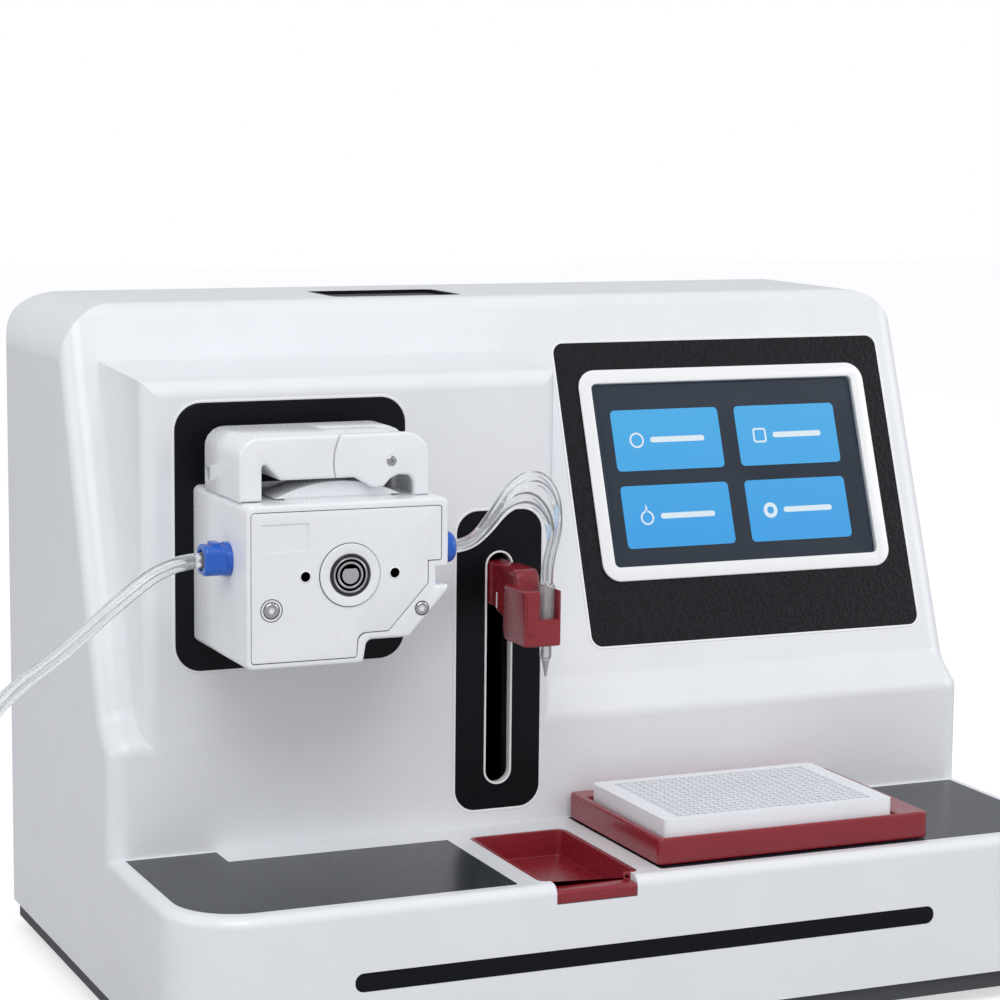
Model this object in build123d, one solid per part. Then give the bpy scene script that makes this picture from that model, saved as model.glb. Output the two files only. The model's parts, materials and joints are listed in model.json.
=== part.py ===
from build123d import *
from math import atan2, cos, degrees, pi, radians, sin, sqrt, tan
import os

# Benchtop liquid dispenser. Millimetres. +Z up, the front faces -Y, and the origin lies on
# the table under the middle of the housing.

# ---- housing -------------------------------------------------------------------------
body_width = 472.0
body_depth = 320.0
body_height = 344.0
foot_height = 7.0
foot_diameter = 24.0
skirt_height = 9.0
skirt_setback = 3.0
shell_wall = 4.0
deck_height = 85.0
deck_setback = 115.5        # front face of the deck to the face of the lower wall
deck_corner_radius = 36.0
deck_edge_radius = 5.0
ledge_low = 139.0           # top of the lower wall
ledge_rise = 12.0
ledge_depth = 15.0
face_lean = 20.0            # degrees from vertical
tower_edge_radius = 10.0
top_side_radius = 28.0
top_rear_radius = 22.0
top_front_radius = 10.0
rear_corner_radius = 14.0
bay_left = -219.0           # pump bay, a block that stands forward of the leaning face
bay_right = -5.0
bay_top = 313.0
bay_corner_radius = 8.0
panel_recess = 2.0
fit_gap = 0.15              # between pieces fixed to each other
soft_gap = 0.3              # between a moving piece and its neighbour

# ---- deck ----------------------------------------------------------------------------
inlay_thickness = 2.0
inlay_front_border = 8.5
inlay_side_border = 7.0
inlay_corner_radius = 30.0
inlay_left_end = -71.5
inlay_step_x = -184.0
inlay_step_depth = 20.5
inlay_right_start = 2.5
inlay_wall_gap = 1.5
tray_centre_x = -34.6
tray_width = 51.4
tray_depth = 87.0
tray_back_gap = 20.0        # tray to the lower wall
tray_height = 15.0
tray_wall = 2.0
tray_corner_radius = 5.0
lip_width = 41.0
lip_drop = 9.0
strip_width = 304.0
strip_height = 8.6
strip_centre_x = -3.0
strip_centre_z = 49.5
strip_depth = 2.0

# ---- plate and its carrier -----------------------------------------------------------
plate_length = 127.76
plate_width = 85.48
plate_height = 14.35
plate_flange = 2.5
plate_flange_step = 1.3
well_pitch = 4.5
well_side = 3.7
well_depth = 10.7
well_columns = 24
well_rows = 16
plate_left = 7.0
plate_front = -145.7
carrier_left_margin = 4.3
carrier_right_margin = 16.8
carrier_front_margin = 3.2
carrier_back_margin = 13.5
carrier_thickness = 13.0
carrier_glide = 0.6         # carrier above the deck
carrier_floor = 6.0
carrier_corner_radius = 3.0
plate_fit = 0.5
carrier_travel = 160.0

# ---- dispensing head -----------------------------------------------------------------
head_x = -36.2
slot_width = 13.0
slot_bottom = 106.4
slot_top = 223.0
slot_panel_width = 46.0
slot_panel_bottom = 93.0
slot_panel_top = 244.4
slot_panel_radius = 10.0
neck_width = 11.0
arm_top = 220.0
arm_bottom = 196.0
arm_reach = 36.0            # wall to the step of the arm
block_back_y = -86.0
block_front_y = -108.5
block_width = 13.0
block_top = 214.0
block_front_top = 200.0
block_bottom = 187.0
tip_y = -101.5
tip_radius = 2.5
tip_bore = 0.5
tip_shoulder = 180.0
tip_end = 171.0
sleeve_radius = 4.2
sleeve_wall = 0.8
head_travel = 62.0

# ---- pump ----------------------------------------------------------------------------
pump_x = -145.2             # shaft axis
pump_z = 230.5
pump_left = -194.3
pump_right = -96.5
pump_top = 264.0
pump_bottom = 189.0
pump_front_y = -125.0
pump_cover_thickness = 5.0
pump_chamber_radius = 30.0
pump_rear_wall = 20.0
pump_panel_width = 116.5
pump_panel_height = 128.5
pump_panel_z = 238.4
pump_panel_radius = 13.0
pump_panel_thickness = 3.0
tube_y = -98.0
tube_diameter = 3.2
bundle_diameter = 7.7
clip_length = 13.0
clip_height = 14.0
clip_corner = 4.0
clip_edge = 1.2
clip_hump = 1.2
clip_mouth = 3.5
clip_dome = 3.2
clip_z = 236.5
shaft_radius = 4.0
shaft_hole_radius = 8.0
shaft_flat = 1.0
bearing_outer = 9.5
bearing_width = 5.0
boss_radius = 15.0
rotor_radius = 23.0
roller_radius = 5.0
roller_pitch_radius = 18.5
roller_count = 4
roller_pin_radius = 1.5
running_gap = 0.05
lever_front_y = -121.0
lever_back_y = -62.0
lever_bottom = 280.0
lever_top = 299.5
lever_leg = 9.5
lever_window_top = 275.0
lever_seam_radius = 28.0
lever_tongue_radius = 9.0
arch_right = -103.5
arch_right_leg = 7.5
knob_length = 6.5
knob_z = 282.0
lever_pivot_x = -121.2
lever_pivot_z = 280.5
lever_pin_radius = 2.4
bed_rise_radius = 42.0
bed_half_width = 26.0
bed_top = 272.0
bed_lift = 5.0

# ---- screen --------------------------------------------------------------------------
screen_x = 123.2
panel_width = 195.0
panel_height = 162.0
panel_mid = 98.0            # up the leaning face from its foot
panel_radius = 6.0
bezel_width = 171.5
bezel_height = 113.5
bezel_mid = 107.0
bezel_radius = 10.0
bezel_proud = 1.2
display_width = 157.0
display_height = 98.5
display_radius = 3.0
display_body_depth = 14.0

# ---- drives inside -------------------------------------------------------------------
screw_radius = 4.0
nut_radius = 7.0
screw_lead = 8.0            # millimetres of head travel in one turn
pulley_radius = 6.0
pulley_hole_place = 4.3
pulley_hole_radius = 0.9
belt_thickness = 1.2
belt_width = 6.0
motor_size = 42.3

# ---- insert in the top ---------------------------------------------------------------
top_insert_x = -50.0
top_insert_y = 80.0
top_insert_width = 72.0
top_insert_length = 46.0
top_insert_radius = 6.0
top_insert_depth = 2.5

# ---- rear panel ----------------------------------------------------------------------
rear_open_x = 205.0
rear_open_top = 300.0
rear_panel_overlap = 6.0
rear_panel_thickness = 1.5
inlet_x = -150.0
inlet_z = 60.0
inlet_width = 48.0
inlet_height = 27.5
rocker_x = -95.0
rocker_width = 21.0
rocker_height = 28.0
rocker_pin_radius = 1.5
rocker_pin_length = 1.5
port_x = -40.0
rear_screw_radius = 1.5
rear_screw_head = 2.6
rear_screw_pocket = 1.5
port_width = 12.0
port_height = 11.0

# ---- inside --------------------------------------------------------------------------
frame_thickness = 4.0
lift_frame_y = -3.0         # front face of the lift's frame plate
lift_rail_x = -36.2
lift_rail_width = 9.0
lift_rail_depth = 6.0
lift_screw_x = -58.0
lift_screw_y = -17.0
lift_screw_bottom = 112.0
lift_screw_top = 246.0
lift_block_height = 30.0
lift_block_width = 20.0
lift_plate_thickness = 5.0
travel_rail_z = 48.0
travel_rail_y = -40.0
travel_rail_width = 9.0
travel_rail_height = 6.5
travel_rail_left = -130.0
travel_rail_right = 150.0
travel_block_length = 60.0
travel_mid = 81.0           # middle of the carrier at rest
magnet_length = 70.0
magnet_thickness = 3.0
belt_y = -13.0
belt_left = -150.0
belt_right = 172.0
pump_motor_radius = 21.0
pump_motor_length = 78.0
rocker_throw = 8.0          # degrees to each side of level

# ---- derived places ------------------------------------------------------------------
half_w = body_width / 2
half_d = body_depth / 2
shell_bottom = foot_height + skirt_height
wall_y = -half_d + deck_setback
slant_foot_y = wall_y + ledge_depth
slant_foot_z = ledge_low + ledge_rise
lean_tan = tan(radians(face_lean))
slant_top_y = slant_foot_y + (body_height - slant_foot_z) * lean_tan
tray_back_y = wall_y - tray_back_gap
tray_front_y = tray_back_y - tray_depth
carrier_bottom = deck_height + carrier_glide
carrier_top = carrier_bottom + carrier_thickness
plate_bottom = carrier_bottom + carrier_floor + running_gap
inner_wall_y = wall_y + shell_wall
slot_mid_z = (slot_bottom + slot_top) / 2
panel_mid_z = (slot_panel_bottom + slot_panel_top) / 2


def block(x0, x1, y0, y1, z0, z1):
    """A box between two corners."""
    return Pos((x0 + x1) / 2, (y0 + y1) / 2, (z0 + z1) / 2) * Box(x1 - x0, y1 - y0, z1 - z0)


def front_plane(x, y, z):
    """A drawing plane that faces the front: x to the right and y up."""
    return Plane(origin=(x, y, z), x_dir=(1, 0, 0), z_dir=(0, -1, 0))


def face_plane(x, up, out=0.0):
    """A drawing plane on the leaning face, 'up' along it and 'out' from it."""
    lean = radians(face_lean)
    y = slant_foot_y + up * sin(lean) - out * cos(lean)
    z = slant_foot_z + up * cos(lean) + out * sin(lean)
    return Plane(origin=(x, y, z), x_dir=(1, 0, 0), z_dir=(0, -cos(lean), sin(lean)))


def front_slab(x, z, width, height, radius, y_back, y_front):
    """A rounded plate that stands upright, from y_back forward to y_front."""
    return extrude(front_plane(x, y_back, z) * RectangleRounded(width, height, radius), y_back - y_front)


def face_slab(x, up, width, height, radius, out_low, out_high):
    """A rounded plate on the leaning face."""
    outline = face_plane(x, up, out_low) * RectangleRounded(width, height, radius)
    return extrude(outline, out_high - out_low)


def rod_y(x, z, radius, y_back, y_front):
    """A round bar along Y."""
    return extrude(front_plane(x, y_back, z) * Circle(radius), y_back - y_front)


def rod_z(x, y, radius, z0, z1):
    """A round bar along Z."""
    return Pos(x, y, (z0 + z1) / 2) * Cylinder(radius, z1 - z0)


def rod_x(y, z, radius, x0, x1):
    """A round bar along X."""
    return Pos((x0 + x1) / 2, y, z) * Rot(0, 90, 0) * Cylinder(radius, x1 - x0)


def upright_profile(points, x0, x1, rounds=()):
    """A solid between x0 and x1 whose outline in the YZ plane is 'points'."""
    sketch = Plane.YZ * make_face(Polyline(*points, close=True))
    for (y, z), radius in rounds:
        corner = sketch.vertices().sort_by_distance((0, y, z))[0]
        sketch = fillet(corner, radius)
    return Pos(x0, 0, 0) * extrude(sketch, x1 - x0)


def deck_plan(setback=0.0):
    """The outline of the deck seen from above, moved in by 'setback'."""
    sketch = Rectangle(body_width - 2 * setback, body_depth - 2 * setback)
    front = sketch.vertices().group_by(Axis.Y)[0]
    sketch = fillet(front, deck_corner_radius - setback)
    rear = sketch.vertices().group_by(Axis.Y)[-1]
    return fillet(rear, rear_corner_radius - setback)


# ---- housing -------------------------------------------------------------------------
def make_deck_block():
    solid = Pos(0, 0, shell_bottom) * extrude(deck_plan(), deck_height - shell_bottom)
    top = solid.edges().filter_by(lambda e: e.center().Z > deck_height - 0.1 and e.center().Y < wall_y + 1)
    return fillet(top, deck_edge_radius)


def make_tower_block():
    mid_deck = (shell_bottom + deck_height) / 2
    points = [(wall_y, mid_deck), (wall_y, ledge_low), (slant_foot_y, slant_foot_z),
              (slant_top_y, body_height), (half_d, body_height), (half_d, mid_deck)]
    rounds = [((wall_y, ledge_low), 9.0), ((slant_foot_y, slant_foot_z), 14.0),
              ((slant_top_y, body_height), top_front_radius), ((half_d, body_height), top_rear_radius)]
    solid = upright_profile(points, -half_w, half_w, rounds)
    front = [e for e in solid.edges() if abs(abs(e.center().X) - half_w) < 0.1 and e.center().Y < half_d - 50
             and e.bounding_box().max.Z < body_height - 0.1 and e.bounding_box().max.Z > mid_deck + 1]
    solid = fillet(front, tower_edge_radius)
    plan = Rectangle(body_width, 2 * body_depth)
    plan = fillet(plan.vertices().group_by(Axis.Y)[-1], rear_corner_radius)
    face = Rectangle(body_width, 2 * body_height)
    face = fillet(face.vertices().group_by(Axis.Y)[-1], top_side_radius)
    upright = extrude(front_plane(0, body_depth, 0) * face, 2 * body_depth)
    return solid & upright & Pos(0, -half_d, 0) * extrude(plan, body_height)


def make_bay_block():
    back_rise = 4.0
    back_y = slant_foot_y + (bay_top - slant_foot_z) * lean_tan + 12.0
    points = [(wall_y, deck_height - 10), (wall_y, bay_top), (back_y, bay_top + back_rise),
              (back_y, deck_height - 10)]
    solid = upright_profile(points, bay_left, bay_right)
    front = [e for e in solid.edges() if abs(e.center().Y - wall_y) < 0.1 and e.center().Z > deck_height]
    return fillet(front, bay_corner_radius)


def cavity():
    """The hollow inside the housing, open below and behind."""
    in_x = half_w - shell_wall
    slant_in = shell_wall / cos(radians(face_lean))
    top = body_height - shell_wall
    foot_y = slant_foot_y + slant_in
    points = [(inner_wall_y, shell_bottom - 1), (inner_wall_y, ledge_low - 2), (foot_y, slant_foot_z - 2),
              (foot_y + (top - slant_foot_z + 2) * lean_tan, top), (half_d - shell_wall, top),
              (half_d - shell_wall, shell_bottom - 1)]
    rounds = [((half_d - shell_wall, top), top_rear_radius - shell_wall)]
    tower = upright_profile(points, -in_x, in_x, rounds)
    sides = [e for e in tower.edges() if abs(abs(e.center().X) - in_x) < 0.1 and e.center().Z > top - 0.5]
    tower = fillet(sides, top_side_radius - shell_wall)
    bay = block(bay_left + shell_wall, bay_right - shell_wall, inner_wall_y, foot_y + 60,
                deck_height, bay_top - shell_wall)
    deck = Pos(0, 0, shell_bottom - 1) * extrude(deck_plan(shell_wall), deck_height - shell_wall - shell_bottom + 1)
    return tower + bay + deck


def tray_well(grow):
    """The space of the drip tray, grown all round by 'grow'."""
    well = RectangleRounded(tray_width + 2 * grow, tray_depth + 2 * grow, tray_corner_radius)
    return Pos(tray_centre_x, (tray_front_y + tray_back_y) / 2, deck_height - tray_height - grow) * extrude(
        well, tray_height + grow + 1)


def lip_notch(grow):
    """The notch in the front face for the lip of the drip tray."""
    return block(tray_centre_x - lip_width / 2 - grow, tray_centre_x + lip_width / 2 + grow,
                 -half_d - 2, tray_front_y + tray_wall, deck_height - lip_drop - grow, deck_height + 2)


def inlay_outline(side, gap=0.0):
    """Left (-1) or right (1) deck inlay seen from above."""
    front = -half_d + inlay_front_border - gap
    back = wall_y - inlay_wall_gap + gap
    outer = half_w - inlay_side_border + gap
    if side < 0:
        step_y = wall_y - inlay_step_depth + gap
        points = [(-outer, front), (inlay_left_end + gap, front), (inlay_left_end + gap, step_y),
                  (inlay_step_x + gap, step_y), (inlay_step_x + gap, back), (-outer, back)]
        outer_corner = (-outer, front)
    else:
        points = [(inlay_right_start - gap, front), (outer, front), (outer, back), (inlay_right_start - gap, back)]
        outer_corner = (outer, front)
    sketch = make_face(Polyline(*points, close=True))
    corner = sketch.vertices().sort_by_distance((outer_corner[0], outer_corner[1], 0))[0]
    sketch = fillet(corner, inlay_corner_radius)
    small = [v for v in sketch.vertices() if abs(abs(v.X) - outer) > 1 and abs(v.Y - front) < 0.1
             and abs(v.X - outer_corner[0]) > inlay_corner_radius + 1]
    return fillet(small, 2.0)


def inlay_solid(side, gap=0.0):
    top = deck_height
    return Pos(0, 0, top - inlay_thickness) * extrude(inlay_outline(side, gap), inlay_thickness + (1 if gap else 0))


def make_housing():
    outer = make_deck_block() + make_tower_block() + make_bay_block()
    well_shell = tray_well(shell_wall / 2) - block(-half_w, half_w, -half_d, half_d, deck_height, body_height)
    shell = (outer - cavity()) + (well_shell & block(-half_w, half_w, -half_d, half_d, 0, deck_height - 1))
    shell -= tray_well(soft_gap)
    shell -= lip_notch(soft_gap)
    for side in (-1, 1):
        shell -= inlay_solid(side, fit_gap)
    shell -= front_slab(strip_centre_x, strip_centre_z, strip_width + 2 * fit_gap, strip_height + 2 * fit_gap,
                        strip_height / 2 - 0.1, -half_d + strip_depth, -half_d - 1)
    # front panels and what passes through them
    shell -= front_slab(head_x, panel_mid_z, slot_panel_width + 2 * fit_gap,
                        slot_panel_top - slot_panel_bottom + 2 * fit_gap, slot_panel_radius,
                        wall_y + panel_recess, wall_y - 1)
    shell -= front_slab(head_x, slot_mid_z, slot_width + 4, slot_top - slot_bottom + 4, slot_width / 2 + 1.9,
                        inner_wall_y + 1, wall_y - 1)
    shell -= front_slab(pump_x, pump_panel_z, pump_panel_width + 2 * fit_gap, pump_panel_height + 2 * fit_gap,
                        pump_panel_radius, wall_y + panel_recess, wall_y - 1)
    shell -= rod_y(pump_x, pump_z, shaft_hole_radius, inner_wall_y + 1, wall_y)
    # screen
    shell -= face_slab(screen_x, panel_mid, panel_width + 2 * fit_gap, panel_height + 2 * fit_gap, panel_radius,
                       -panel_recess, 2.0)
    shell -= face_slab(screen_x, bezel_mid, display_width + 6, display_height + 6, display_radius, -9.0, 2.0)
    # top insert
    shell -= Pos(top_insert_x, top_insert_y, body_height - top_insert_depth) * extrude(
        RectangleRounded(top_insert_width + 2 * fit_gap, top_insert_length + 2 * fit_gap, top_insert_radius), 5)
    # opening for the rear panel, with a lip round it
    shell -= block(-rear_open_x, rear_open_x, half_d - shell_wall - 1, half_d + 1, shell_bottom - 1, rear_open_top)
    return shell - screw_holes()


def make_rear_panel():
    """A steel sheet that closes the back, screwed to the lip of the housing."""
    y_in = half_d - shell_wall - rear_panel_thickness
    half = rear_open_x + rear_panel_overlap
    panel = block(-half, half, y_in, half_d - shell_wall - soft_gap, shell_bottom + 1, rear_open_top + rear_panel_overlap)
    panel -= block(inlet_x - inlet_width / 2, inlet_x + inlet_width / 2, y_in - 1, half_d,
                   inlet_z - inlet_height / 2, inlet_z + inlet_height / 2)
    panel -= block(rocker_x - rocker_width / 2, rocker_x + rocker_width / 2, y_in - 1, half_d,
                   inlet_z - rocker_height / 2, inlet_z + rocker_height / 2)
    panel -= block(port_x - 8, port_x + 8, y_in - 1, half_d, inlet_z - 7, inlet_z + 7)
    for row in range(7):
        for bank in (-1, 1):
            slot = SlotOverall(70.0, 4.0)
            z = 190.0 + row * 12.0
            panel -= extrude(front_plane(bank * 90.0, half_d, z) * slot, 10)
    return panel - screw_holes()


def panel_screw_places():
    """Screws of the rear panel, as x and z."""
    half = rear_open_x + rear_panel_overlap / 2
    return [(sx * half, z) for sx in (-1, 1) for z in (40.0, 170.0, rear_open_top - 10)]




def make_base_pan():
    """A shallow pan under the housing: a floor with a rim, set back from the shell."""
    outline = deck_plan(skirt_setback)
    pan = Pos(0, 0, foot_height) * extrude(outline, skirt_height)
    inner = deck_plan(skirt_setback + 5)
    return pan - Pos(0, 0, foot_height + 3) * extrude(inner, skirt_height)


def foot_places():
    return [(sx * (half_w - 36), sy * (half_d - 34)) for sx in (-1, 1) for sy in (-1, 1)]


def make_feet():
    foot = Cone(foot_diameter / 2 - 2, foot_diameter / 2, foot_height)
    return Compound(children=[Pos(x, y, foot_height / 2) * foot for x, y in foot_places()])


def make_front_strip():
    return front_slab(strip_centre_x, strip_centre_z, strip_width, strip_height, strip_height / 2 - 0.1,
                      -half_d + strip_depth - 0.05, -half_d)


def make_screen_panel():
    panel = face_slab(screen_x, panel_mid, panel_width, panel_height, panel_radius, -panel_recess, 0.0)
    return panel - face_slab(screen_x, bezel_mid, display_width + 6, display_height + 6, display_radius, -9, 2)


def make_screen_bezel():
    """A frame that lies on the panel and holds the glass, with a skirt down its opening."""
    frame = face_slab(screen_x, bezel_mid, bezel_width, bezel_height, bezel_radius, 0.0, bezel_proud)
    skirt = face_slab(screen_x, bezel_mid, display_width + 5.6, display_height + 5.6, display_radius, -3.0, 0.0)
    opening = face_slab(screen_x, bezel_mid, display_width, display_height, display_radius, -9, 2)
    return frame + skirt - opening


def make_display_glass():
    return face_slab(screen_x, bezel_mid, display_width - 2 * fit_gap, display_height - 2 * fit_gap,
                     display_radius - fit_gap, -1.5, 0.2)


def make_display_module():
    """The display with its driver board, behind the glass."""
    body = face_slab(screen_x, bezel_mid, display_width - 1, display_height - 1, display_radius, -7.0, -1.5)
    board = face_slab(screen_x, bezel_mid, display_width - 30, display_height - 25, 1.0, -display_body_depth, -7.0)
    return body + board


def make_top_insert():
    tray = Pos(top_insert_x, top_insert_y, body_height - top_insert_depth) * extrude(
        RectangleRounded(top_insert_width, top_insert_length, top_insert_radius), top_insert_depth)
    dish = Pos(top_insert_x, top_insert_y, body_height - top_insert_depth + 1) * extrude(
        RectangleRounded(top_insert_width - 5, top_insert_length - 5, top_insert_radius - 2), top_insert_depth)
    return tray - dish


def make_slot_panel():
    panel = front_slab(head_x, panel_mid_z, slot_panel_width, slot_panel_top - slot_panel_bottom,
                       slot_panel_radius, wall_y + panel_recess, wall_y)
    return panel - front_slab(head_x, slot_mid_z, slot_width + 2, slot_top - slot_bottom + 2, slot_width / 2 + 0.9,
                              inner_wall_y, wall_y - 1)


def make_slot_trim():
    """A light moulded bead round the slot, pushed in from the front."""
    outer = front_slab(head_x, slot_mid_z, slot_width + 1.9, slot_top - slot_bottom + 1.9, slot_width / 2 + 0.9,
                       inner_wall_y, wall_y - 0.5)
    return outer - front_slab(head_x, slot_mid_z, slot_width, slot_top - slot_bottom, slot_width / 2 - 0.05,
                              inner_wall_y + 1, wall_y - 2)


def make_pump_backplate():
    plate = front_slab(pump_x, pump_panel_z, pump_panel_width, pump_panel_height, pump_panel_radius,
                       wall_y + panel_recess, wall_y + panel_recess - pump_panel_thickness)
    plate = fillet(plate.faces().sort_by(Axis.Y)[0].edges(), 0.8)
    return plate - rod_y(pump_x, pump_z, shaft_hole_radius, inner_wall_y, wall_y - 3)


def screw_holes():
    """Clearance holes and head pockets of the rear panel's screws."""
    holes = Part()
    for x, z in panel_screw_places():
        holes += rod_y(x, z, rear_screw_radius + fit_gap, half_d + 1, half_d - shell_wall - 8)
        holes += rod_y(x, z, rear_screw_head + fit_gap, half_d + 1, half_d - rear_screw_pocket)
    return holes


def make_case_screws():
    screws = []
    for x, z in panel_screw_places():
        shank = rod_y(x, z, rear_screw_radius, half_d - rear_screw_pocket, half_d - shell_wall - 5)
        head = rod_y(x, z, rear_screw_head, half_d, half_d - rear_screw_pocket)
        screws.append(head + shank)
    return Compound(children=screws)


# ---- connections at the back ---------------------------------------------------------
def make_power_inlet():
    """A three-pin socket: a moulded flange with a deep mouth."""
    y_face = half_d - shell_wall
    y_in = y_face - rear_panel_thickness
    body = block(inlet_x - inlet_width / 2 + fit_gap, inlet_x + inlet_width / 2 - fit_gap, y_in - 20, y_face,
                 inlet_z - inlet_height / 2 + fit_gap, inlet_z + inlet_height / 2 - fit_gap)
    flange = block(inlet_x - inlet_width / 2 - 3, inlet_x + inlet_width / 2 + 3, y_face, y_face + 2,
                   inlet_z - inlet_height / 2 - 3, inlet_z + inlet_height / 2 + 3)
    mouth = block(inlet_x - 12, inlet_x + 12, y_face - 16, y_face + 3, inlet_z - 8, inlet_z + 8)
    mouth = chamfer(mouth.edges().filter_by(Axis.Y).group_by(Axis.Z)[-1], 5.0)
    return body + flange - mouth


def make_inlet_pins():
    y_face = half_d - shell_wall
    pins = [block(inlet_x + dx - 1, inlet_x + dx + 1, y_face - 16, y_face - 2, inlet_z + dz - 2, inlet_z + dz + 2)
            for dx, dz in ((-7, -1.5), (0, 2.5), (7, -1.5))]
    return Compound(children=pins)


def make_rocker_frame():
    y_face = half_d - shell_wall
    body = block(rocker_x - rocker_width / 2 + fit_gap, rocker_x + rocker_width / 2 - fit_gap,
                 y_face - 16, y_face, inlet_z - rocker_height / 2 + fit_gap, inlet_z + rocker_height / 2 - fit_gap)
    flange = block(rocker_x - rocker_width / 2 - 2, rocker_x + rocker_width / 2 + 2, y_face, y_face + 1.5,
                   inlet_z - rocker_height / 2 - 2, inlet_z + rocker_height / 2 + 2)
    mouth = block(rocker_x - rocker_width / 2 + 2, rocker_x + rocker_width / 2 - 2, y_face - 12, y_face + 3,
                  inlet_z - rocker_height / 2 + 2, inlet_z + rocker_height / 2 - 2)
    pins = rod_x(rocker_pivot_y(), inlet_z, rocker_pin_radius + running_gap, rocker_x - rocker_width,
                 rocker_x + rocker_width)
    return body + flange - mouth - pins


def rocker_pivot_y():
    return half_d - shell_wall - 4.0


def make_power_rocker():
    """A see-saw key with a shallow V face, turning on two moulded pins."""
    half = rocker_height / 2 - 2 - 0.6
    reach = half * cos(radians(rocker_throw)) - 0.2
    y = rocker_pivot_y()
    front = y + 6.5
    points = [(y - 4.0, inlet_z - 3), (y - 4.0, inlet_z + 3), (front, inlet_z + reach), (front - 1.5, inlet_z),
              (front, inlet_z - reach)]
    half_x = rocker_width / 2 - 2 - soft_gap
    key = upright_profile(points, rocker_x - half_x, rocker_x + half_x)
    pin_x = half_x + rocker_pin_length
    return key + rod_x(y, inlet_z, rocker_pin_radius, rocker_x - pin_x, rocker_x + pin_x)


def make_data_port():
    y_face = half_d - shell_wall
    body = block(port_x - 7.8, port_x + 7.8, y_face - 14, y_face + 0.8, inlet_z - 6.8, inlet_z + 6.8)
    return body - block(port_x - port_width / 2, port_x + port_width / 2, y_face - 10, y_face + 2,
                        inlet_z - port_height / 2, inlet_z + port_height / 2)


# ---- electronics ---------------------------------------------------------------------
def make_control_board():
    top = foot_height + 3
    board = block(20, 190, 20, 130, top + 10, top + 11.6)
    parts = board
    for x, y, w, d, h in ((60, 60, 30, 30, 6), (110, 90, 24, 24, 5), (150, 50, 40, 16, 12), (60, 110, 60, 10, 10)):
        parts += block(x, x + w, y, y + d, top + 11.6, top + 11.6 + h) & block(20, 190, 20, 130, 0, 60)
    for x in (28, 182):
        for y in (28, 122):
            parts += rod_z(x, y, 3.0, top, top + 10)
    return parts


def make_power_supply():
    """The mains supply in its sheet cover."""
    top = foot_height + 3
    case = block(-200, -110, 4, 134, top, top + 38)
    for i in range(8):
        y = 16 + i * 14.0
        case -= block(-190, -120, y, y + 5, top + 36, top + 39)
    return case


# ---- head lift -----------------------------------------------------------------------
def make_lift_frame():
    """An upright plate on the base pan, with an arm forward at each end of the lead screw."""
    base = foot_height + 3
    left = lift_screw_x - 22
    right = head_x + 20
    y0 = lift_frame_y
    solid = block(left, right, y0, y0 + frame_thickness, base, lift_screw_top + 16)
    solid += block(left, right, y0, y0 + 40, base, base + frame_thickness)
    for z0, z1 in ((lift_screw_bottom - 8, lift_screw_bottom - 2), (lift_screw_top - 4, lift_screw_top)):
        arm = block(lift_screw_x - 21, lift_screw_x + 9, lift_screw_y - 8, y0, z0, z1)
        solid += arm - rod_z(lift_screw_x, lift_screw_y, screw_radius + running_gap, z0 - 1, z1 + 1)
    gusset = [(y0 + frame_thickness, base + frame_thickness), (y0 + 38, base + frame_thickness),
              (y0 + frame_thickness, base + 50)]
    for x in (left, right - frame_thickness):
        solid += upright_profile(gusset, x, x + frame_thickness)
    return solid


def make_lift_rail():
    rail = block(lift_rail_x - lift_rail_width / 2, lift_rail_x + lift_rail_width / 2,
                 lift_frame_y - lift_rail_depth, lift_frame_y, 118, 242)
    return rail


def lift_block_z():
    return (arm_top + arm_bottom) / 2


def make_lift_carriage():
    """The block that runs on the rail, its face plate and the boss that holds the nut."""
    z = lift_block_z()
    half = lift_block_height / 2
    back = lift_frame_y - 1.5
    face = lift_frame_y - lift_rail_depth - 4
    groove_half = lift_rail_width / 2 + running_gap
    body = block(lift_rail_x - lift_block_width / 2, lift_rail_x + lift_block_width / 2, face, back,
                 z - half, z + half)
    body -= block(lift_rail_x - groove_half, lift_rail_x + groove_half, lift_frame_y - lift_rail_depth - running_gap,
                  back + 1, z - half - 1, z + half + 1)
    body += block(lift_screw_x, lift_rail_x + lift_block_width / 2, face - lift_plate_thickness, face, z - 9, z + 9)
    boss = nut_radius + 3.5
    body += block(lift_screw_x - boss, lift_screw_x + boss, lift_screw_y - boss, lift_screw_y + boss, z - 9, z + 9)
    return body - rod_z(lift_screw_x, lift_screw_y, nut_radius + fit_gap, z - 10, z + 10)


def make_lift_nut():
    """A flanged nut on the lead screw, bolted to the carriage's plate."""
    z = lift_block_z()
    nut = rod_z(lift_screw_x, lift_screw_y, nut_radius, z - 9, z + 11)
    nut += rod_z(lift_screw_x, lift_screw_y, nut_radius + 3, z - 12, z - 9)
    return nut - rod_z(lift_screw_x, lift_screw_y, screw_radius + running_gap, z - 13, z + 12)


def make_lift_screw():
    """The lead screw with its coupling, running in the frame's two arms."""
    low = lift_screw_bottom - 8
    screw = rod_z(lift_screw_x, lift_screw_y, screw_radius, low, lift_screw_top + 3)
    coupling = rod_z(lift_screw_x, lift_screw_y, 6.5, lift_screw_top + 0.5, lift_screw_top + 14)
    flat = block(lift_screw_x + 5.5, lift_screw_x + 8, lift_screw_y - 8, lift_screw_y + 8, lift_screw_top + 5,
                 lift_screw_top + 12)
    return screw + coupling - flat


def make_lift_motor():
    z0 = lift_screw_top + 14.5
    x = lift_screw_x
    y = lift_screw_y
    body = block(x - 14, x + 14, y - 14, y + 14, z0, z0 + 30)
    body = chamfer(body.edges().filter_by(Axis.Z), 3.0)
    bracket = block(x - 19, x - 15, y - 8, y + 13, lift_screw_top, z0 + 20)
    ear = block(x - 15, x - 13, y - 8, y + 10, z0 + 2, z0 + 18)
    return body + ear + bracket


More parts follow.
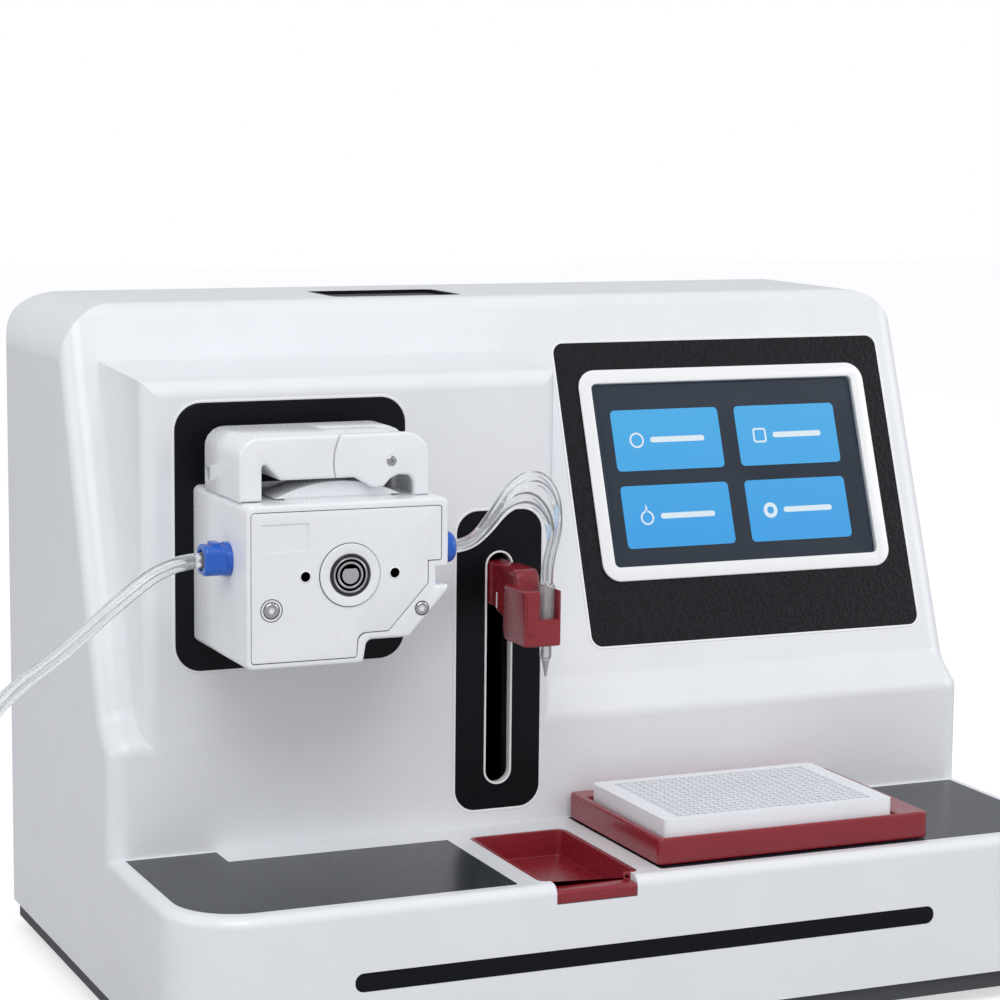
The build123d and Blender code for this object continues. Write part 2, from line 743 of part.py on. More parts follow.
# ---- carrier drive -------------------------------------------------------------------
def make_travel_frame():
    """A beam under the deck that holds the rail, on two legs from the base pan."""
    base = foot_height + 3
    z = travel_rail_z
    left = belt_left - 16
    right = belt_right + 16
    solid = block(left, right, travel_rail_y - 14, belt_y + 5, z - frame_thickness, z)
    for x in (left + 4, belt_right - 50):
        solid += block(x, x + 12, travel_rail_y - 12, travel_rail_y + 16, base, z - frame_thickness)
    for x in (belt_left, belt_right):
        solid += rod_z(x, belt_y, 2.5, z, z + 14)
    return solid


def make_travel_rail():
    return block(travel_rail_left, travel_rail_right, travel_rail_y - travel_rail_width / 2,
                 travel_rail_y + travel_rail_width / 2, travel_rail_z, travel_rail_z + travel_rail_height)


def make_travel_carriage():
    """The runner on the rail, with the clamp of the belt and a post up to the magnets."""
    z = travel_rail_z + 1.0
    top = travel_rail_z + travel_rail_height + 4
    half = travel_block_length / 2
    body = block(travel_mid - half, travel_mid + half, travel_rail_y - 10, travel_rail_y + 10, z, top)
    body -= block(travel_mid - half - 1, travel_mid + half + 1, travel_rail_y - travel_rail_width / 2 - running_gap,
                  travel_rail_y + travel_rail_width / 2 + running_gap, z - 2,
                  travel_rail_z + travel_rail_height + running_gap)
    post = block(travel_mid - half, travel_mid + half, travel_rail_y - 12, travel_rail_y - 2, top,
                 deck_height - shell_wall - 1 - magnet_thickness)
    clamp_top = top + 2
    clamp = block(travel_mid - 10, travel_mid + 10, travel_rail_y + 8, belt_y - pulley_radius - belt_thickness - 0.1,
                  z + 2, clamp_top)
    return body + post + clamp


def make_drive_magnet():
    """The magnet under the deck, on top of the carriage's post."""
    z_low = deck_height - shell_wall - 1 - magnet_thickness
    y = travel_rail_y - 7
    return block(travel_mid - magnet_length / 2, travel_mid + magnet_length / 2, y - 5, y + 5, z_low,
                 z_low + magnet_thickness)


def make_carrier_magnet():
    y1 = plate_front + plate_width + carrier_back_margin - 2.0
    y0 = y1 - 8
    return block(travel_mid - magnet_length / 2, travel_mid + magnet_length / 2, y0, y1, carrier_bottom,
                 carrier_bottom + magnet_thickness)


def make_belt():
    z = travel_rail_z + 4
    outer_r = pulley_radius + belt_thickness
    span = belt_right - belt_left
    mid = (belt_left + belt_right) / 2
    loop = SlotCenterToCenter(span, 2 * outer_r)
    hole = SlotCenterToCenter(span, 2 * (pulley_radius + running_gap))
    return Pos(mid, belt_y, z) * extrude(loop - hole, belt_width)


def make_pulley(x):
    """A flanged belt pulley on a fixed pin, with lightening holes."""
    z = travel_rail_z + 0.5
    hub = rod_z(x, belt_y, pulley_radius, z, z + 11)
    low_flange = rod_z(x, belt_y, pulley_radius + 2, z, z + 1.5)
    high_flange = rod_z(x, belt_y, pulley_radius + 2, z + 11, z + 12.5)
    solid = hub + low_flange + high_flange - rod_z(x, belt_y, 2.5 + running_gap, z - 1, z + 14)
    for i in range(4):
        a = i * pi / 2
        solid -= rod_z(x + pulley_hole_place * cos(a), belt_y + pulley_hole_place * sin(a), pulley_hole_radius,
                       z - 1, z + 14)
    return solid


def make_travel_motor():
    """The motor stands under the beam and turns the drive pulley."""
    half = motor_size / 2
    top = travel_rail_z - frame_thickness
    body = block(belt_right - half, belt_right + half, belt_y - half, belt_y + half, foot_height + 3, top)
    return chamfer(body.edges().filter_by(Axis.Z), 4.0)


# ---- pump ----------------------------------------------------------------------------
def pump_outline(inset):
    """The pump head seen from the front: cut away below right, with a step beside the corner."""
    left = pump_left + inset
    right = pump_right - inset
    top = pump_top - inset
    bottom = pump_bottom + inset
    notch = 5.5
    notch_top = pump_z + 0.5
    notch_bottom = notch_top - 8.0 + (2 * inset if inset else 0)
    cut_z = 200.0 + inset
    step_x = -134.5 - inset
    points = [(left, top), (right, top), (right, notch_top + inset), (right - notch, notch_top + inset)]
    points += [(right - notch, 223.3), (right if inset == 0 else right - notch, 221.0)]
    points += [(right - 20.0, cut_z), (step_x, cut_z), (step_x - 5, bottom), (left, bottom)]
    return points


def outline_face(points, y):
    plane = front_plane(0, y, 0)
    return plane * make_face(Polyline(*points, close=True))


def pump_body_face(y, inset=0.0):
    sketch = outline_face(pump_outline(inset), y)
    corners = [v for v in sketch.vertices() if v.X < pump_left + inset + 1]
    return fillet(corners, 4.0)


def make_pump_body():
    """The casing: a chamber for the rotor, a top opening for the clamp bed and ears for the lever."""
    rear = wall_y + panel_recess - pump_panel_thickness - 0.05
    solid = extrude(pump_body_face(rear), rear - pump_front_y)
    solid -= extrude(pump_body_face(pump_front_y + pump_cover_thickness + fit_gap, 3.0 - 0.5), 20)
    chamber_back = rear - pump_rear_wall
    chamber_front = pump_front_y + pump_cover_thickness
    solid -= rod_y(pump_x, pump_z, pump_chamber_radius, chamber_back, chamber_front)
    solid -= block(pump_x - bed_half_width - soft_gap, pump_x + bed_half_width + soft_gap,
                   bed_front_y() - soft_gap, bed_back_y() + soft_gap, pump_z + 10, pump_top + 1)
    solid -= rod_y(pump_x, pump_z, shaft_radius + 2.0, rear + 1, chamber_back - 1)
    # tube passages, left and right
    passage = bundle_diameter / 2 + 0.6
    solid -= rod_x(tube_y, clip_z, passage, pump_left - 1, pump_x)
    solid -= rod_x(tube_y, clip_z, passage, pump_x, pump_right + 1)
    solid += make_lever_bracket()
    for x, z, r in pump_screw_places():
        solid -= rod_y(x, z, r + 0.2, pump_front_y + 2.0, pump_front_y - 2)
    return solid - rod_y(lever_pivot_x, lever_pivot_z, lever_pin_radius + running_gap, 0, -200)


def arch_profile():
    """Outline of the arch over the bed, with its window: left leg, bar and right leg."""
    outer_points = [(pump_left, pump_top - 2), (pump_left, lever_top), (arch_right - 14, lever_top),
                    (arch_right, lever_top - 9), (arch_right, pump_top - 2)]
    outer = make_face(Polyline(*outer_points, close=True))
    corners = outer.vertices().group_by(Axis.Y)[-1]
    outer = fillet(corners, 8.0)
    window_left = pump_left + lever_leg
    window_right = arch_right - arch_right_leg
    window_points = [(window_left, pump_top - 3), (window_left, lever_bottom), (window_left + 9, lever_window_top),
                     (window_right - 8, lever_window_top), (window_right, lever_window_top - 6),
                     (window_right, pump_top - 3)]
    return outer - make_face(Polyline(*window_points, close=True))


def arch_slice(y_back, y_front):
    return extrude(front_plane(0, y_back, 0) * arch_profile(), y_back - y_front)


def tongue_front_y():
    return bed_front_y() - 0.2


def tongue_back_y():
    return bed_back_y() + 0.2


def make_lever_bracket():
    """The fixed right end of the arch: two cheeks with the pin of the lever between them."""
    near_pivot = rod_y(lever_pivot_x, lever_pivot_z, lever_seam_radius - soft_gap, 0, -200)
    right_side = block(lever_pivot_x, 0, -200, 0, pump_top - 2, lever_top + 1)
    arch = arch_slice(lever_back_y, lever_front_y) & (near_pivot + right_side)
    slot = block(pump_left, 0, tongue_front_y() - soft_gap, tongue_back_y() + soft_gap, pump_top + 1, lever_top + 1)
    post = block(arch_right, arch_right + knob_length, -88, -76, knob_z - 5, knob_z + 5)
    return arch - slot + post


def bed_front_y():
    return tube_y - 12.0


def bed_back_y():
    return tube_y + 12.0


def make_pump_cover():
    """The front plate of the pump, with the bearing boss, locating holes and screw seats."""
    y_back = pump_front_y + pump_cover_thickness
    plate = extrude(pump_body_face(y_back, 3.0), pump_cover_thickness)
    plate += rod_y(pump_x, pump_z, boss_radius, pump_front_y, pump_front_y - 0.8)
    plate -= rod_y(pump_x, pump_z, bearing_outer + 0.02, y_back + 1, pump_front_y - 2)
    for x in (pump_x - 21.5, pump_x + 22.0):
        plate -= rod_y(x, pump_z, 2.3, y_back - 1, pump_front_y - 2)
    for x, z, r in pump_screw_places():
        plate -= rod_y(x, z, r + 0.3, pump_front_y + 2.0, pump_front_y - 2)
    badge = front_slab(-176.0, 248.8, 22.5, 13.0, 1.0, pump_front_y + 0.6, pump_front_y - 1)
    return plate - badge


def pump_screw_places():
    return [(-182.8, 216.2, 4.6), (-110.5, 213.4, 3.0), (-182.8, 200.0, 0.01)][:2]


def make_pump_screws():
    screws = []
    for x, z, r in pump_screw_places():
        head = rod_y(x, z, r, pump_front_y + 2.0, pump_front_y - 0.6)
        hexagon = extrude(front_plane(x, pump_front_y + 1, z) * RegularPolygon(r * 0.5, 6), 4)
        screws.append(head - hexagon)
    return Compound(children=screws)


def make_pump_bearing():
    """A ball bearing's two rings and the seal between them."""
    y_back = pump_front_y + bearing_width
    ring = rod_y(pump_x, pump_z, bearing_outer, y_back, pump_front_y)
    ring -= rod_y(pump_x, pump_z, shaft_radius + running_gap, y_back + 1, pump_front_y - 1)
    groove = rod_y(pump_x, pump_z, bearing_outer - 1.6, pump_front_y + 0.8, pump_front_y - 1)
    groove -= rod_y(pump_x, pump_z, shaft_radius + 1.6, pump_front_y + 1, pump_front_y - 2)
    return ring - groove


def make_pump_shaft():
    shaft = rod_y(pump_x, pump_z, shaft_radius, -36.0, pump_front_y - 1.0)
    flat = block(pump_x - 10, pump_x + 10, pump_front_y - 2, pump_front_y + 4, pump_z + shaft_radius - shaft_flat,
                 pump_z + 10)
    return shaft - flat


def roller_places():
    places = []
    for i in range(roller_count):
        a = 2 * pi * (i + 0.5) / roller_count
        places.append((pump_x + roller_pitch_radius * cos(a), pump_z + roller_pitch_radius * sin(a)))
    return places


def make_rotor():
    """Two discs joined by the roller pins, keyed to the shaft."""
    front = tube_y - 15.0
    back = tube_y + 15.0
    disc_front = rod_y(pump_x, pump_z, rotor_radius, front + 3, front)
    disc_back = rod_y(pump_x, pump_z, rotor_radius, back, back - 3)
    hub = rod_y(pump_x, pump_z, 9.0, back - 3, front + 3)
    solid = disc_front + disc_back + hub
    for x, z in roller_places():
        solid += rod_y(x, z, roller_pin_radius, back - 1, front + 1)
    return solid - rod_y(pump_x, pump_z, shaft_radius + fit_gap, back + 1, front - 1)


def make_roller(i):
    x, z = roller_places()[i]
    front = tube_y - 11.6
    back = tube_y + 11.6
    return rod_y(x, z, roller_radius, back, front) - rod_y(x, z, roller_pin_radius + running_gap, back + 1, front - 1)


def make_clamp_bed():
    """The pressure shoe: crowned outside, hollowed below to follow the rollers."""
    front, back = bed_front_y(), bed_back_y()
    crown_z = bed_top - bed_rise_radius
    crown = rod_y(pump_x, crown_z, bed_rise_radius, back, front)
    track = roller_pitch_radius + roller_radius + tube_diameter + soft_gap
    body = block(pump_x - bed_half_width, pump_x + bed_half_width, front, back, pump_z + 14, bed_top + 1)
    return (crown & body) - rod_y(pump_x, pump_z, track, back + 1, front - 1)


def make_clamp_lever():
    """The moving left end of the arch, with a tongue between the cheeks to the pin."""
    away = rod_y(lever_pivot_x, lever_pivot_z, lever_seam_radius, 0, -200)
    left_side = block(pump_left - 1, lever_pivot_x, -200, 0, pump_top + 0.4, lever_top + 1)
    solid = (arch_slice(lever_back_y, lever_front_y) & left_side) - away
    front, back = tongue_front_y(), tongue_back_y()
    tongue = block(lever_pivot_x - lever_seam_radius - 6, lever_pivot_x, front, back, lever_pivot_z - 5,
                   lever_pivot_z + lever_tongue_radius)
    solid += tongue + rod_y(lever_pivot_x, lever_pivot_z, lever_tongue_radius, back, front)
    return solid - rod_y(lever_pivot_x, lever_pivot_z, lever_pin_radius + running_gap, 0, -200)


def make_lever_pin():
    pin = rod_y(lever_pivot_x, lever_pivot_z, lever_pin_radius, lever_back_y, lever_front_y)
    return pin


def make_tube_clip(side):
    """A moulded tube clip: a boxy holder with a hump on the inlet side, a domed cap on the outlet side."""
    edge = pump_left if side < 0 else pump_right
    out = -1 if side < 0 else 1
    end = edge + out * clip_length
    collar = rod_x(tube_y, clip_z, clip_height / 2 + 1, *sorted((edge + out * 0.1, edge + out * 2.6)))
    if side < 0:
        start, depth = edge + out * 2, clip_length - 2
        across = Plane(origin=(start, tube_y, clip_z), x_dir=(0, 1, 0), z_dir=(out, 0, 0))
        body = extrude(across * RectangleRounded(clip_height, clip_height, clip_corner), depth)
        body = fillet(body.faces().sort_by(Axis.X)[0].edges(), clip_edge)
        top = clip_z + clip_height / 2
        hump = block(start - depth * 0.6, start - depth * 0.25, tube_y - clip_height * 0.3, tube_y + clip_height * 0.3,
                     top - 1, top + clip_hump)
        body += hump
        hollow = rod_x(tube_y, clip_z, bundle_diameter / 2 + 1.2, end - 1, end + clip_mouth)
    else:
        body = rod_x(tube_y, clip_z, clip_height / 2 + 0.5, edge + 2, end)
        body = fillet(body.edges().sort_by(Axis.X)[-1], clip_dome)
        hollow = rod_x(tube_y, clip_z, bundle_diameter / 2 + 0.4, end - 0.6, end + 1)
    bore = rod_x(tube_y, clip_z, bundle_diameter / 2 + 0.15, *sorted((edge - out, edge + out * 20)))
    return collar + body - bore - hollow


def make_pump_tube():
    """The tube round the rotor, from clip to clip, as one band under the bed."""
    inner = roller_pitch_radius + roller_radius + 0.15
    radius = inner + tube_diameter / 2 - 0.1
    width = 11.0
    band = rod_y(pump_x, pump_z, radius + tube_diameter / 2 - 0.2, tube_y + width, tube_y - width)
    band -= rod_y(pump_x, pump_z, inner, tube_y + width + 1, tube_y - width - 1)
    band &= block(pump_x - 40, pump_x + 40, -200, 0, pump_z + 5, pump_z + 60)
    for edge, out in ((pump_left, -1), (pump_right, 1)):
        ends = sorted((pump_x + out * 24.0, edge + out * clip_length))
        band += rod_x(tube_y, clip_z, bundle_diameter / 2, *ends)
    return band


def make_pump_motor():
    """The gear motor that turns the rotor, flanged to the inside of the front wall."""
    flange = front_slab(pump_x, pump_z, 60.0, 60.0, 6.0, inner_wall_y + 4, inner_wall_y)
    body = rod_y(pump_x, pump_z, pump_motor_radius, inner_wall_y + pump_motor_length, inner_wall_y + 4)
    return flange + body - rod_y(pump_x, pump_z, shaft_radius + running_gap, inner_wall_y + 12, inner_wall_y - 1)


# ---- dispensing head -----------------------------------------------------------------
def make_head_arm():
    """The arm through the slot: a neck, a deep arm and an end block with a step in front."""
    half = neck_width / 2
    carriage_face = lift_frame_y - lift_rail_depth - 4 - lift_plate_thickness
    neck = block(head_x - half, head_x + half, wall_y - 3, carriage_face, arm_bottom, arm_top)
    half_b = block_width / 2
    start_y = wall_y - 2.5
    step_y = wall_y - arm_reach
    points = [(start_y, arm_bottom), (start_y, arm_top), (step_y + 3, arm_top), (step_y - 2, block_top),
              (block_front_y, block_top), (block_front_y, block_bottom), (block_back_y, block_bottom),
              (step_y + 6, arm_bottom - 3)]
    rounds = [((step_y + 3, arm_top), 4.0), ((step_y - 2, block_top), 2.5), ((block_front_y, block_bottom), 2.0)]
    head = upright_profile(points, head_x - half_b, head_x + half_b, rounds)
    head = chamfer(head.edges().filter_by(Axis.Z).group_by(Axis.Y)[0], 1.0)
    head -= block(head_x - half_b + 3.0, head_x + half_b + 1, block_front_y - 1, tip_y, block_front_top,
                  block_top + 1)
    head -= rod_z(head_x, tip_y, sleeve_radius + 0.05, block_front_top - 4, block_top + 6)
    head -= rod_z(head_x, tip_y, tip_radius + 0.02, block_bottom - 1, block_front_top)
    return neck + head


def make_tube_sleeve():
    z0 = block_front_top - 4
    z1 = block_top + 1.5
    return rod_z(head_x, tip_y, sleeve_radius, z0, z1) - rod_z(head_x, tip_y, sleeve_radius - sleeve_wall, z0 + 2, z1 + 1)


def make_dispense_tip():
    barrel = rod_z(head_x, tip_y, tip_radius, tip_shoulder, block_front_top - 4)
    cone_height = tip_shoulder - tip_end
    cone = Pos(head_x, tip_y, tip_end + cone_height / 2) * Cone(0.9, tip_radius, cone_height)
    return barrel + cone - rod_z(head_x, tip_y, tip_bore, tip_end - 1, block_top)


# ---- deck pieces ---------------------------------------------------------------------
def make_plate_carrier():
    x0 = plate_left - carrier_left_margin
    x1 = plate_left + plate_length + carrier_right_margin
    y0 = plate_front - carrier_front_margin
    y1 = plate_front + plate_width + carrier_back_margin
    mid = Pos((x0 + x1) / 2, (y0 + y1) / 2, carrier_bottom)
    solid = mid * extrude(RectangleRounded(x1 - x0, y1 - y0, carrier_corner_radius), carrier_thickness)
    solid = fillet(solid.faces().sort_by(Axis.Z)[-1].edges(), 1.2)
    pocket = block(plate_left - plate_fit, plate_left + plate_length + plate_fit, plate_front - plate_fit,
                   plate_front + plate_width + plate_fit, carrier_bottom + carrier_floor, carrier_top + 1)
    window = block(plate_left + 12, plate_left + plate_length - 12, plate_front + 12, plate_front + plate_width - 12,
                   carrier_bottom - 1, carrier_top)
    solid -= pocket
    solid -= window
    return solid - make_carrier_magnet_pocket()


def make_carrier_magnet_pocket():
    y1 = plate_front + plate_width + carrier_back_margin - 2.0
    y0 = y1 - 8
    g = 0.05
    return block(travel_mid - magnet_length / 2 - g, travel_mid + magnet_length / 2 + g, y0 - g, y1 + g,
                 carrier_bottom - 1, carrier_bottom + magnet_thickness + g)


def make_microplate():
    z0 = plate_bottom
    top = z0 + plate_height
    mid_x = plate_left + plate_length / 2
    mid_y = plate_front + plate_width / 2
    flange = Pos(mid_x, mid_y, z0) * extrude(RectangleRounded(plate_length, plate_width, 3.5), plate_flange)
    inset = 2 * plate_flange_step
    body = Pos(mid_x, mid_y, z0) * extrude(RectangleRounded(plate_length - inset, plate_width - inset, 3.0),
                                           plate_height)
    under = Pos(mid_x, mid_y, z0 - 1) * extrude(
        RectangleRounded(plate_length - inset - 3, plate_width - inset - 3, 2.0), 1 + 2.0)
    solid = flange + body - under
    well = Rectangle(well_side, well_side)
    wells = Sketch() + [Pos(mid_x + (i - (well_columns - 1) / 2) * well_pitch,
                            mid_y + (j - (well_rows - 1) / 2) * well_pitch) * well
                        for i in range(well_columns) for j in range(well_rows)]
    return solid - Pos(0, 0, top - well_depth) * extrude(wells, well_depth + 1)


def make_drip_tray():
    y_mid = (tray_front_y + tray_back_y) / 2
    z0 = deck_height - tray_height
    outer = Pos(tray_centre_x, y_mid, z0) * extrude(RectangleRounded(tray_width, tray_depth, tray_corner_radius),
                                                    tray_height)
    inner = Pos(tray_centre_x, y_mid, z0 + tray_wall) * extrude(
        RectangleRounded(tray_width - 2 * tray_wall, tray_depth - 2 * tray_wall, tray_corner_radius - tray_wall),
        tray_height)
    lip = block(tray_centre_x - lip_width / 2, tray_centre_x + lip_width / 2, -half_d, tray_front_y + 1,
                deck_height - lip_drop, deck_height - 3)
    lip = fillet(lip.edges().filter_by(Axis.X).group_by(Axis.Y)[0].sort_by(Axis.Z)[-1], 2.0)
    dip = block(tray_centre_x - lip_width / 2 + 3, tray_centre_x + lip_width / 2 - 3, tray_front_y - 1,
                tray_front_y + tray_wall + 1, deck_height - 3, deck_height + 1)
    return outer - inner - dip + lip


# ---- tubes ---------------------------------------------------------------------------
supply_points = [(-207.5, -98, 236.5), (-222, -98, 236.5), (-246, -98.6, 220), (-272, -99, 198),
                 (-300, -99, 180), (-322, -97, 150), (-333, -92, 108), (-338, -80, 68), (-340, -62, 34),
                 (-325, -47.5, 13), (-308, -42.0, 4.6), (-294, -41.8, 3.9)]
outlet_points = [(-83.3, -98, 236.5), (-75, -98, 236.5), (-65, -98.2, 246), (-54, -98.6, 259.5),
                 (-42, -99.3, 262), (-33.5, -100.2, 253), (-31.5, -101, 239), (-36.2, -101.5, 226),
                 (-36.2, -101.5, 216.0)]
coil_x = -296.0
coil_y = -92.0
coil_mid_radius = 38.0
coil_height = 17.0
coil_width = 16.0


def corner_radii(points):
    """The radius at each inner point: 0.45 of the shorter run over the tangent of half the turn."""
    radii = []
    vectors = [Vector(*p) for p in points]
    for a, b, c in zip(vectors, vectors[1:], vectors[2:]):
        turn = radians((b - a).get_angle(c - b))
        radii.append(0.45 * min((b - a).length, (c - b).length) / tan(turn / 2))
    return radii


def make_cord(name, points, diameter):
    radii = corner_radii(points)
    path = FilletPolyline(*points, radius=radii)
    start = Plane(origin=path @ 0, z_dir=path % 0)
    tube = sweep(start * Circle(diameter / 2), path=path)
    expected = pi * diameter ** 2 / 4 * path.length
    print(name, "radii", [round(r) for r in radii], "length", round(path.length), "volume ratio",
          round(tube.volume / expected, 3))
    return tube


def make_supply_coil():
    ring = Pos(coil_x, coil_y, 0) * extrude(Circle(coil_mid_radius + coil_width / 2)
                                            - Circle(coil_mid_radius - coil_width / 2), coil_height)
    return ring


def build_all():
    nodes = {
        "housing_shell": make_housing(), "base_pan": make_base_pan(), "rubber_feet": make_feet(),
        "rear_panel": make_rear_panel(), "case_screws": make_case_screws(),
        "deck_inlays": Compound(children=[inlay_solid(-1), inlay_solid(1)]), "front_strip": make_front_strip(),
        "screen_panel": make_screen_panel(), "screen_bezel": make_screen_bezel(),
        "display_glass": make_display_glass(), "display_module": make_display_module(),
        "top_insert": make_top_insert(), "slot_panel": make_slot_panel(), "slot_trim": make_slot_trim(),
        "pump_backplate": make_pump_backplate(), "power_inlet": make_power_inlet(),
        "inlet_pins": make_inlet_pins(), "rocker_frame": make_rocker_frame(), "power_rocker": make_power_rocker(),
        "data_port": make_data_port(), "control_board": make_control_board(),
        "power_supply": make_power_supply(), "lift_frame": make_lift_frame(), "linear_rails": Compound(children=[make_lift_rail(), make_travel_rail()]),
        "lift_carriage": make_lift_carriage(), "lift_nut": make_lift_nut(), "lift_screw": make_lift_screw(),
        "drive_motors": Compound(children=[make_lift_motor(), make_travel_motor()]),
        "travel_frame": make_travel_frame(), "travel_carriage": make_travel_carriage(),
        "drive_magnets": Compound(children=[make_drive_magnet(), make_carrier_magnet()]),
        "travel_belt": make_belt(),
        "drive_pulley": make_pulley(belt_right), "idler_pulley": make_pulley(belt_left),
        "pump_motor": make_pump_motor(), "pump_body": make_pump_body(),
        "pump_cover": make_pump_cover(), "pump_screws": make_pump_screws(), "pump_bearing": make_pump_bearing(),
        "pump_shaft": make_pump_shaft(), "pump_rotor": make_rotor(), "clamp_bed": make_clamp_bed(),
        "clamp_lever": make_clamp_lever(), "lever_pin": make_lever_pin(), "inlet_clip": make_tube_clip(-1),
        "outlet_clip": make_tube_clip(1), "pump_tube": make_pump_tube(), "head_arm": make_head_arm(),
        "tube_sleeve": make_tube_sleeve(), "dispense_tip": make_dispense_tip(),
        "plate_carrier": make_plate_carrier(), "microplate": make_microplate(), "drip_tray": make_drip_tray(),
        "supply_tubes": make_cord("supply", supply_points, bundle_diameter),
        "supply_coil": make_supply_coil(), "outlet_tubes": make_cord("outlet", outlet_points, bundle_diameter),
    }
    for i in range(roller_count):
        nodes[f"pump_roller_{i + 1}"] = make_roller(i)
    return nodes


os.makedirs("parts", exist_ok=True)
for name, solid in build_all().items():
    export_step(solid, f"parts/{name}.step")
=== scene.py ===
# %% [markdown]
# # Liquid handling robot
#
# A bench-top liquid handler: a moulded white housing, a peristaltic pump head with clear tubes,
# a red dispensing head in a slot, a red microplate carrier and a leaning touch screen.
#
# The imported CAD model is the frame. This script dresses it: camera and light first, then the
# free tubes, then one material for each kind of surface, then the fine pieces that CAD leaves out.
# Lengths are in metres, +Z is up and the front faces -Y.

# %% Load the frame
import json
from math import asin, cos, pi, radians, sin, tan

import bmesh
import bpy
from mathutils import Matrix, Vector


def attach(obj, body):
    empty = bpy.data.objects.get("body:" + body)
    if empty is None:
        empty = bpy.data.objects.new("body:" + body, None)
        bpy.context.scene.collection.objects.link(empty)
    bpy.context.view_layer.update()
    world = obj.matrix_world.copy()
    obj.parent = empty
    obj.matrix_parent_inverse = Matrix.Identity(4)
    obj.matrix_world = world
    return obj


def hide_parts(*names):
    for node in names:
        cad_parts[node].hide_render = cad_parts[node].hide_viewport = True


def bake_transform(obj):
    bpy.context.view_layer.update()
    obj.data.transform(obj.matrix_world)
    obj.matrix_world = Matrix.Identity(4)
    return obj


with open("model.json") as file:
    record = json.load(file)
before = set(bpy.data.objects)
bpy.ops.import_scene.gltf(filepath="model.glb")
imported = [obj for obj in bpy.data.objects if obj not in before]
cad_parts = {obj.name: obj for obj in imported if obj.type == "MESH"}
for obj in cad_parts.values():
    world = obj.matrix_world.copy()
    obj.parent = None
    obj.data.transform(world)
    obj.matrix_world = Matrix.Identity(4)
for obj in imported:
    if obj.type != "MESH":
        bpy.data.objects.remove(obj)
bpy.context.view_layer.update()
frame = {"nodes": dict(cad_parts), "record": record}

MM = 0.001

# %% [markdown]
# ## Camera
#
# The camera stands a little to the left of the instrument and looks down at it slightly. Its
# place and angles come from fitting a pinhole camera to the microplate's corners and the
# housing's straight edges.

# %% Camera
CAMERA_PLACE = Vector((-0.5928, -1.3236, 0.4428))
CAMERA_YAW = radians(23.594)
CAMERA_PITCH = radians(7.894)
CAMERA_ROLL = radians(0.571)
CAMERA_LENS = 102.46
CAMERA_SHIFT = (-0.0036, -0.0002)


def camera_axes():
    """Right, up and backward directions of the camera."""
    reach = cos(CAMERA_PITCH)
    forward = Vector((sin(CAMERA_YAW) * reach, cos(CAMERA_YAW) * reach, -sin(CAMERA_PITCH)))
    level = Vector((cos(CAMERA_YAW), -sin(CAMERA_YAW), 0))
    upward = level.cross(forward)
    right = level * cos(CAMERA_ROLL) + upward * sin(CAMERA_ROLL)
    up = upward * cos(CAMERA_ROLL) - level * sin(CAMERA_ROLL)
    return right, up, -forward


def make_camera():
    data = bpy.data.cameras.new("camera")
    data.sensor_width = 36
    data.lens = CAMERA_LENS
    data.shift_x, data.shift_y = CAMERA_SHIFT
    camera = bpy.data.objects.new("camera", data)
    bpy.context.scene.collection.objects.link(camera)
    turn = Matrix(camera_axes()).transposed().to_4x4()
    camera.matrix_world = Matrix.Translation(CAMERA_PLACE) @ turn
    bpy.context.scene.camera = camera
    return camera


camera = make_camera()
print("camera at", tuple(camera.location))

# %% [markdown]
# ## Light
#
# A white studio: a big soft light above, a weaker one from the left and a narrow one from the
# right. What the camera sees past the object is plain white.

# %% Light
bpy.context.scene.view_settings.view_transform = "Standard"
WORLD_LIGHT = 0.64
LIGHT_AIM = Vector((0, 0, 0.15))
LIGHTS = {
    "key_light": ((-0.55, -1.5, 1.9), 1.5, 22.0),
    "left_light": ((-2.2, -0.3, 0.9), 1.4, 7.0),
    "right_light": ((1.9, -1.0, 1.0), 1.2, 10.0),
}


def make_light(name, place, size, power):
    data = bpy.data.lights.new(name, "AREA")
    data.size = size
    data.energy = power
    light = bpy.data.objects.new(name, data)
    bpy.context.scene.collection.objects.link(light)
    light.location = place
    light.rotation_euler = (LIGHT_AIM - Vector(place)).to_track_quat("-Z", "Y").to_euler()
    return light


def make_world():
    world = bpy.data.worlds.new("studio")
    world.use_nodes = True
    tree = world.node_tree
    path = tree.nodes.new("ShaderNodeLightPath")
    ambient = tree.nodes["Background"]
    ambient.inputs["Color"].default_value = (0.93, 0.95, 1.0, 1)
    ambient.inputs["Strength"].default_value = WORLD_LIGHT
    seen = tree.nodes.new("ShaderNodeBackground")
    seen.inputs["Color"].default_value = (1, 1, 1, 1)
    seen.inputs["Strength"].default_value = 1.0
    mix = tree.nodes.new("ShaderNodeMixShader")
    largest = tree.nodes.new("ShaderNodeMath")
    largest.operation = "MAXIMUM"
    tree.links.new(path.outputs["Is Camera Ray"], largest.inputs[0])
    tree.links.new(path.outputs["Is Transmission Ray"], largest.inputs[1])
    tree.links.new(largest.outputs[0], mix.inputs["Fac"])
    tree.links.new(ambient.outputs[0], mix.inputs[1])
    tree.links.new(seen.outputs[0], mix.inputs[2])
    tree.links.new(mix.outputs[0], tree.nodes["World Output"].inputs["Surface"])
    bpy.context.scene.world = world


for light_name, (place, size, power) in LIGHTS.items():
    make_light(light_name, place, size, power)
make_world()
print("lights:", ", ".join(LIGHTS))

# %% [markdown]
# ## Materials
#
# Every surface gets its own procedural material. `surface` makes the ones that are one base
# colour with slight mottling, uneven gloss and a fine grain. Grain sizes are real sizes.

# %% Material helpers
materials = {}


def shader_material(name):
    material = bpy.data.materials.new(name)
    material.use_nodes = True
    materials[name] = material
    return material, material.node_tree, material.node_tree.nodes["Principled BSDF"]


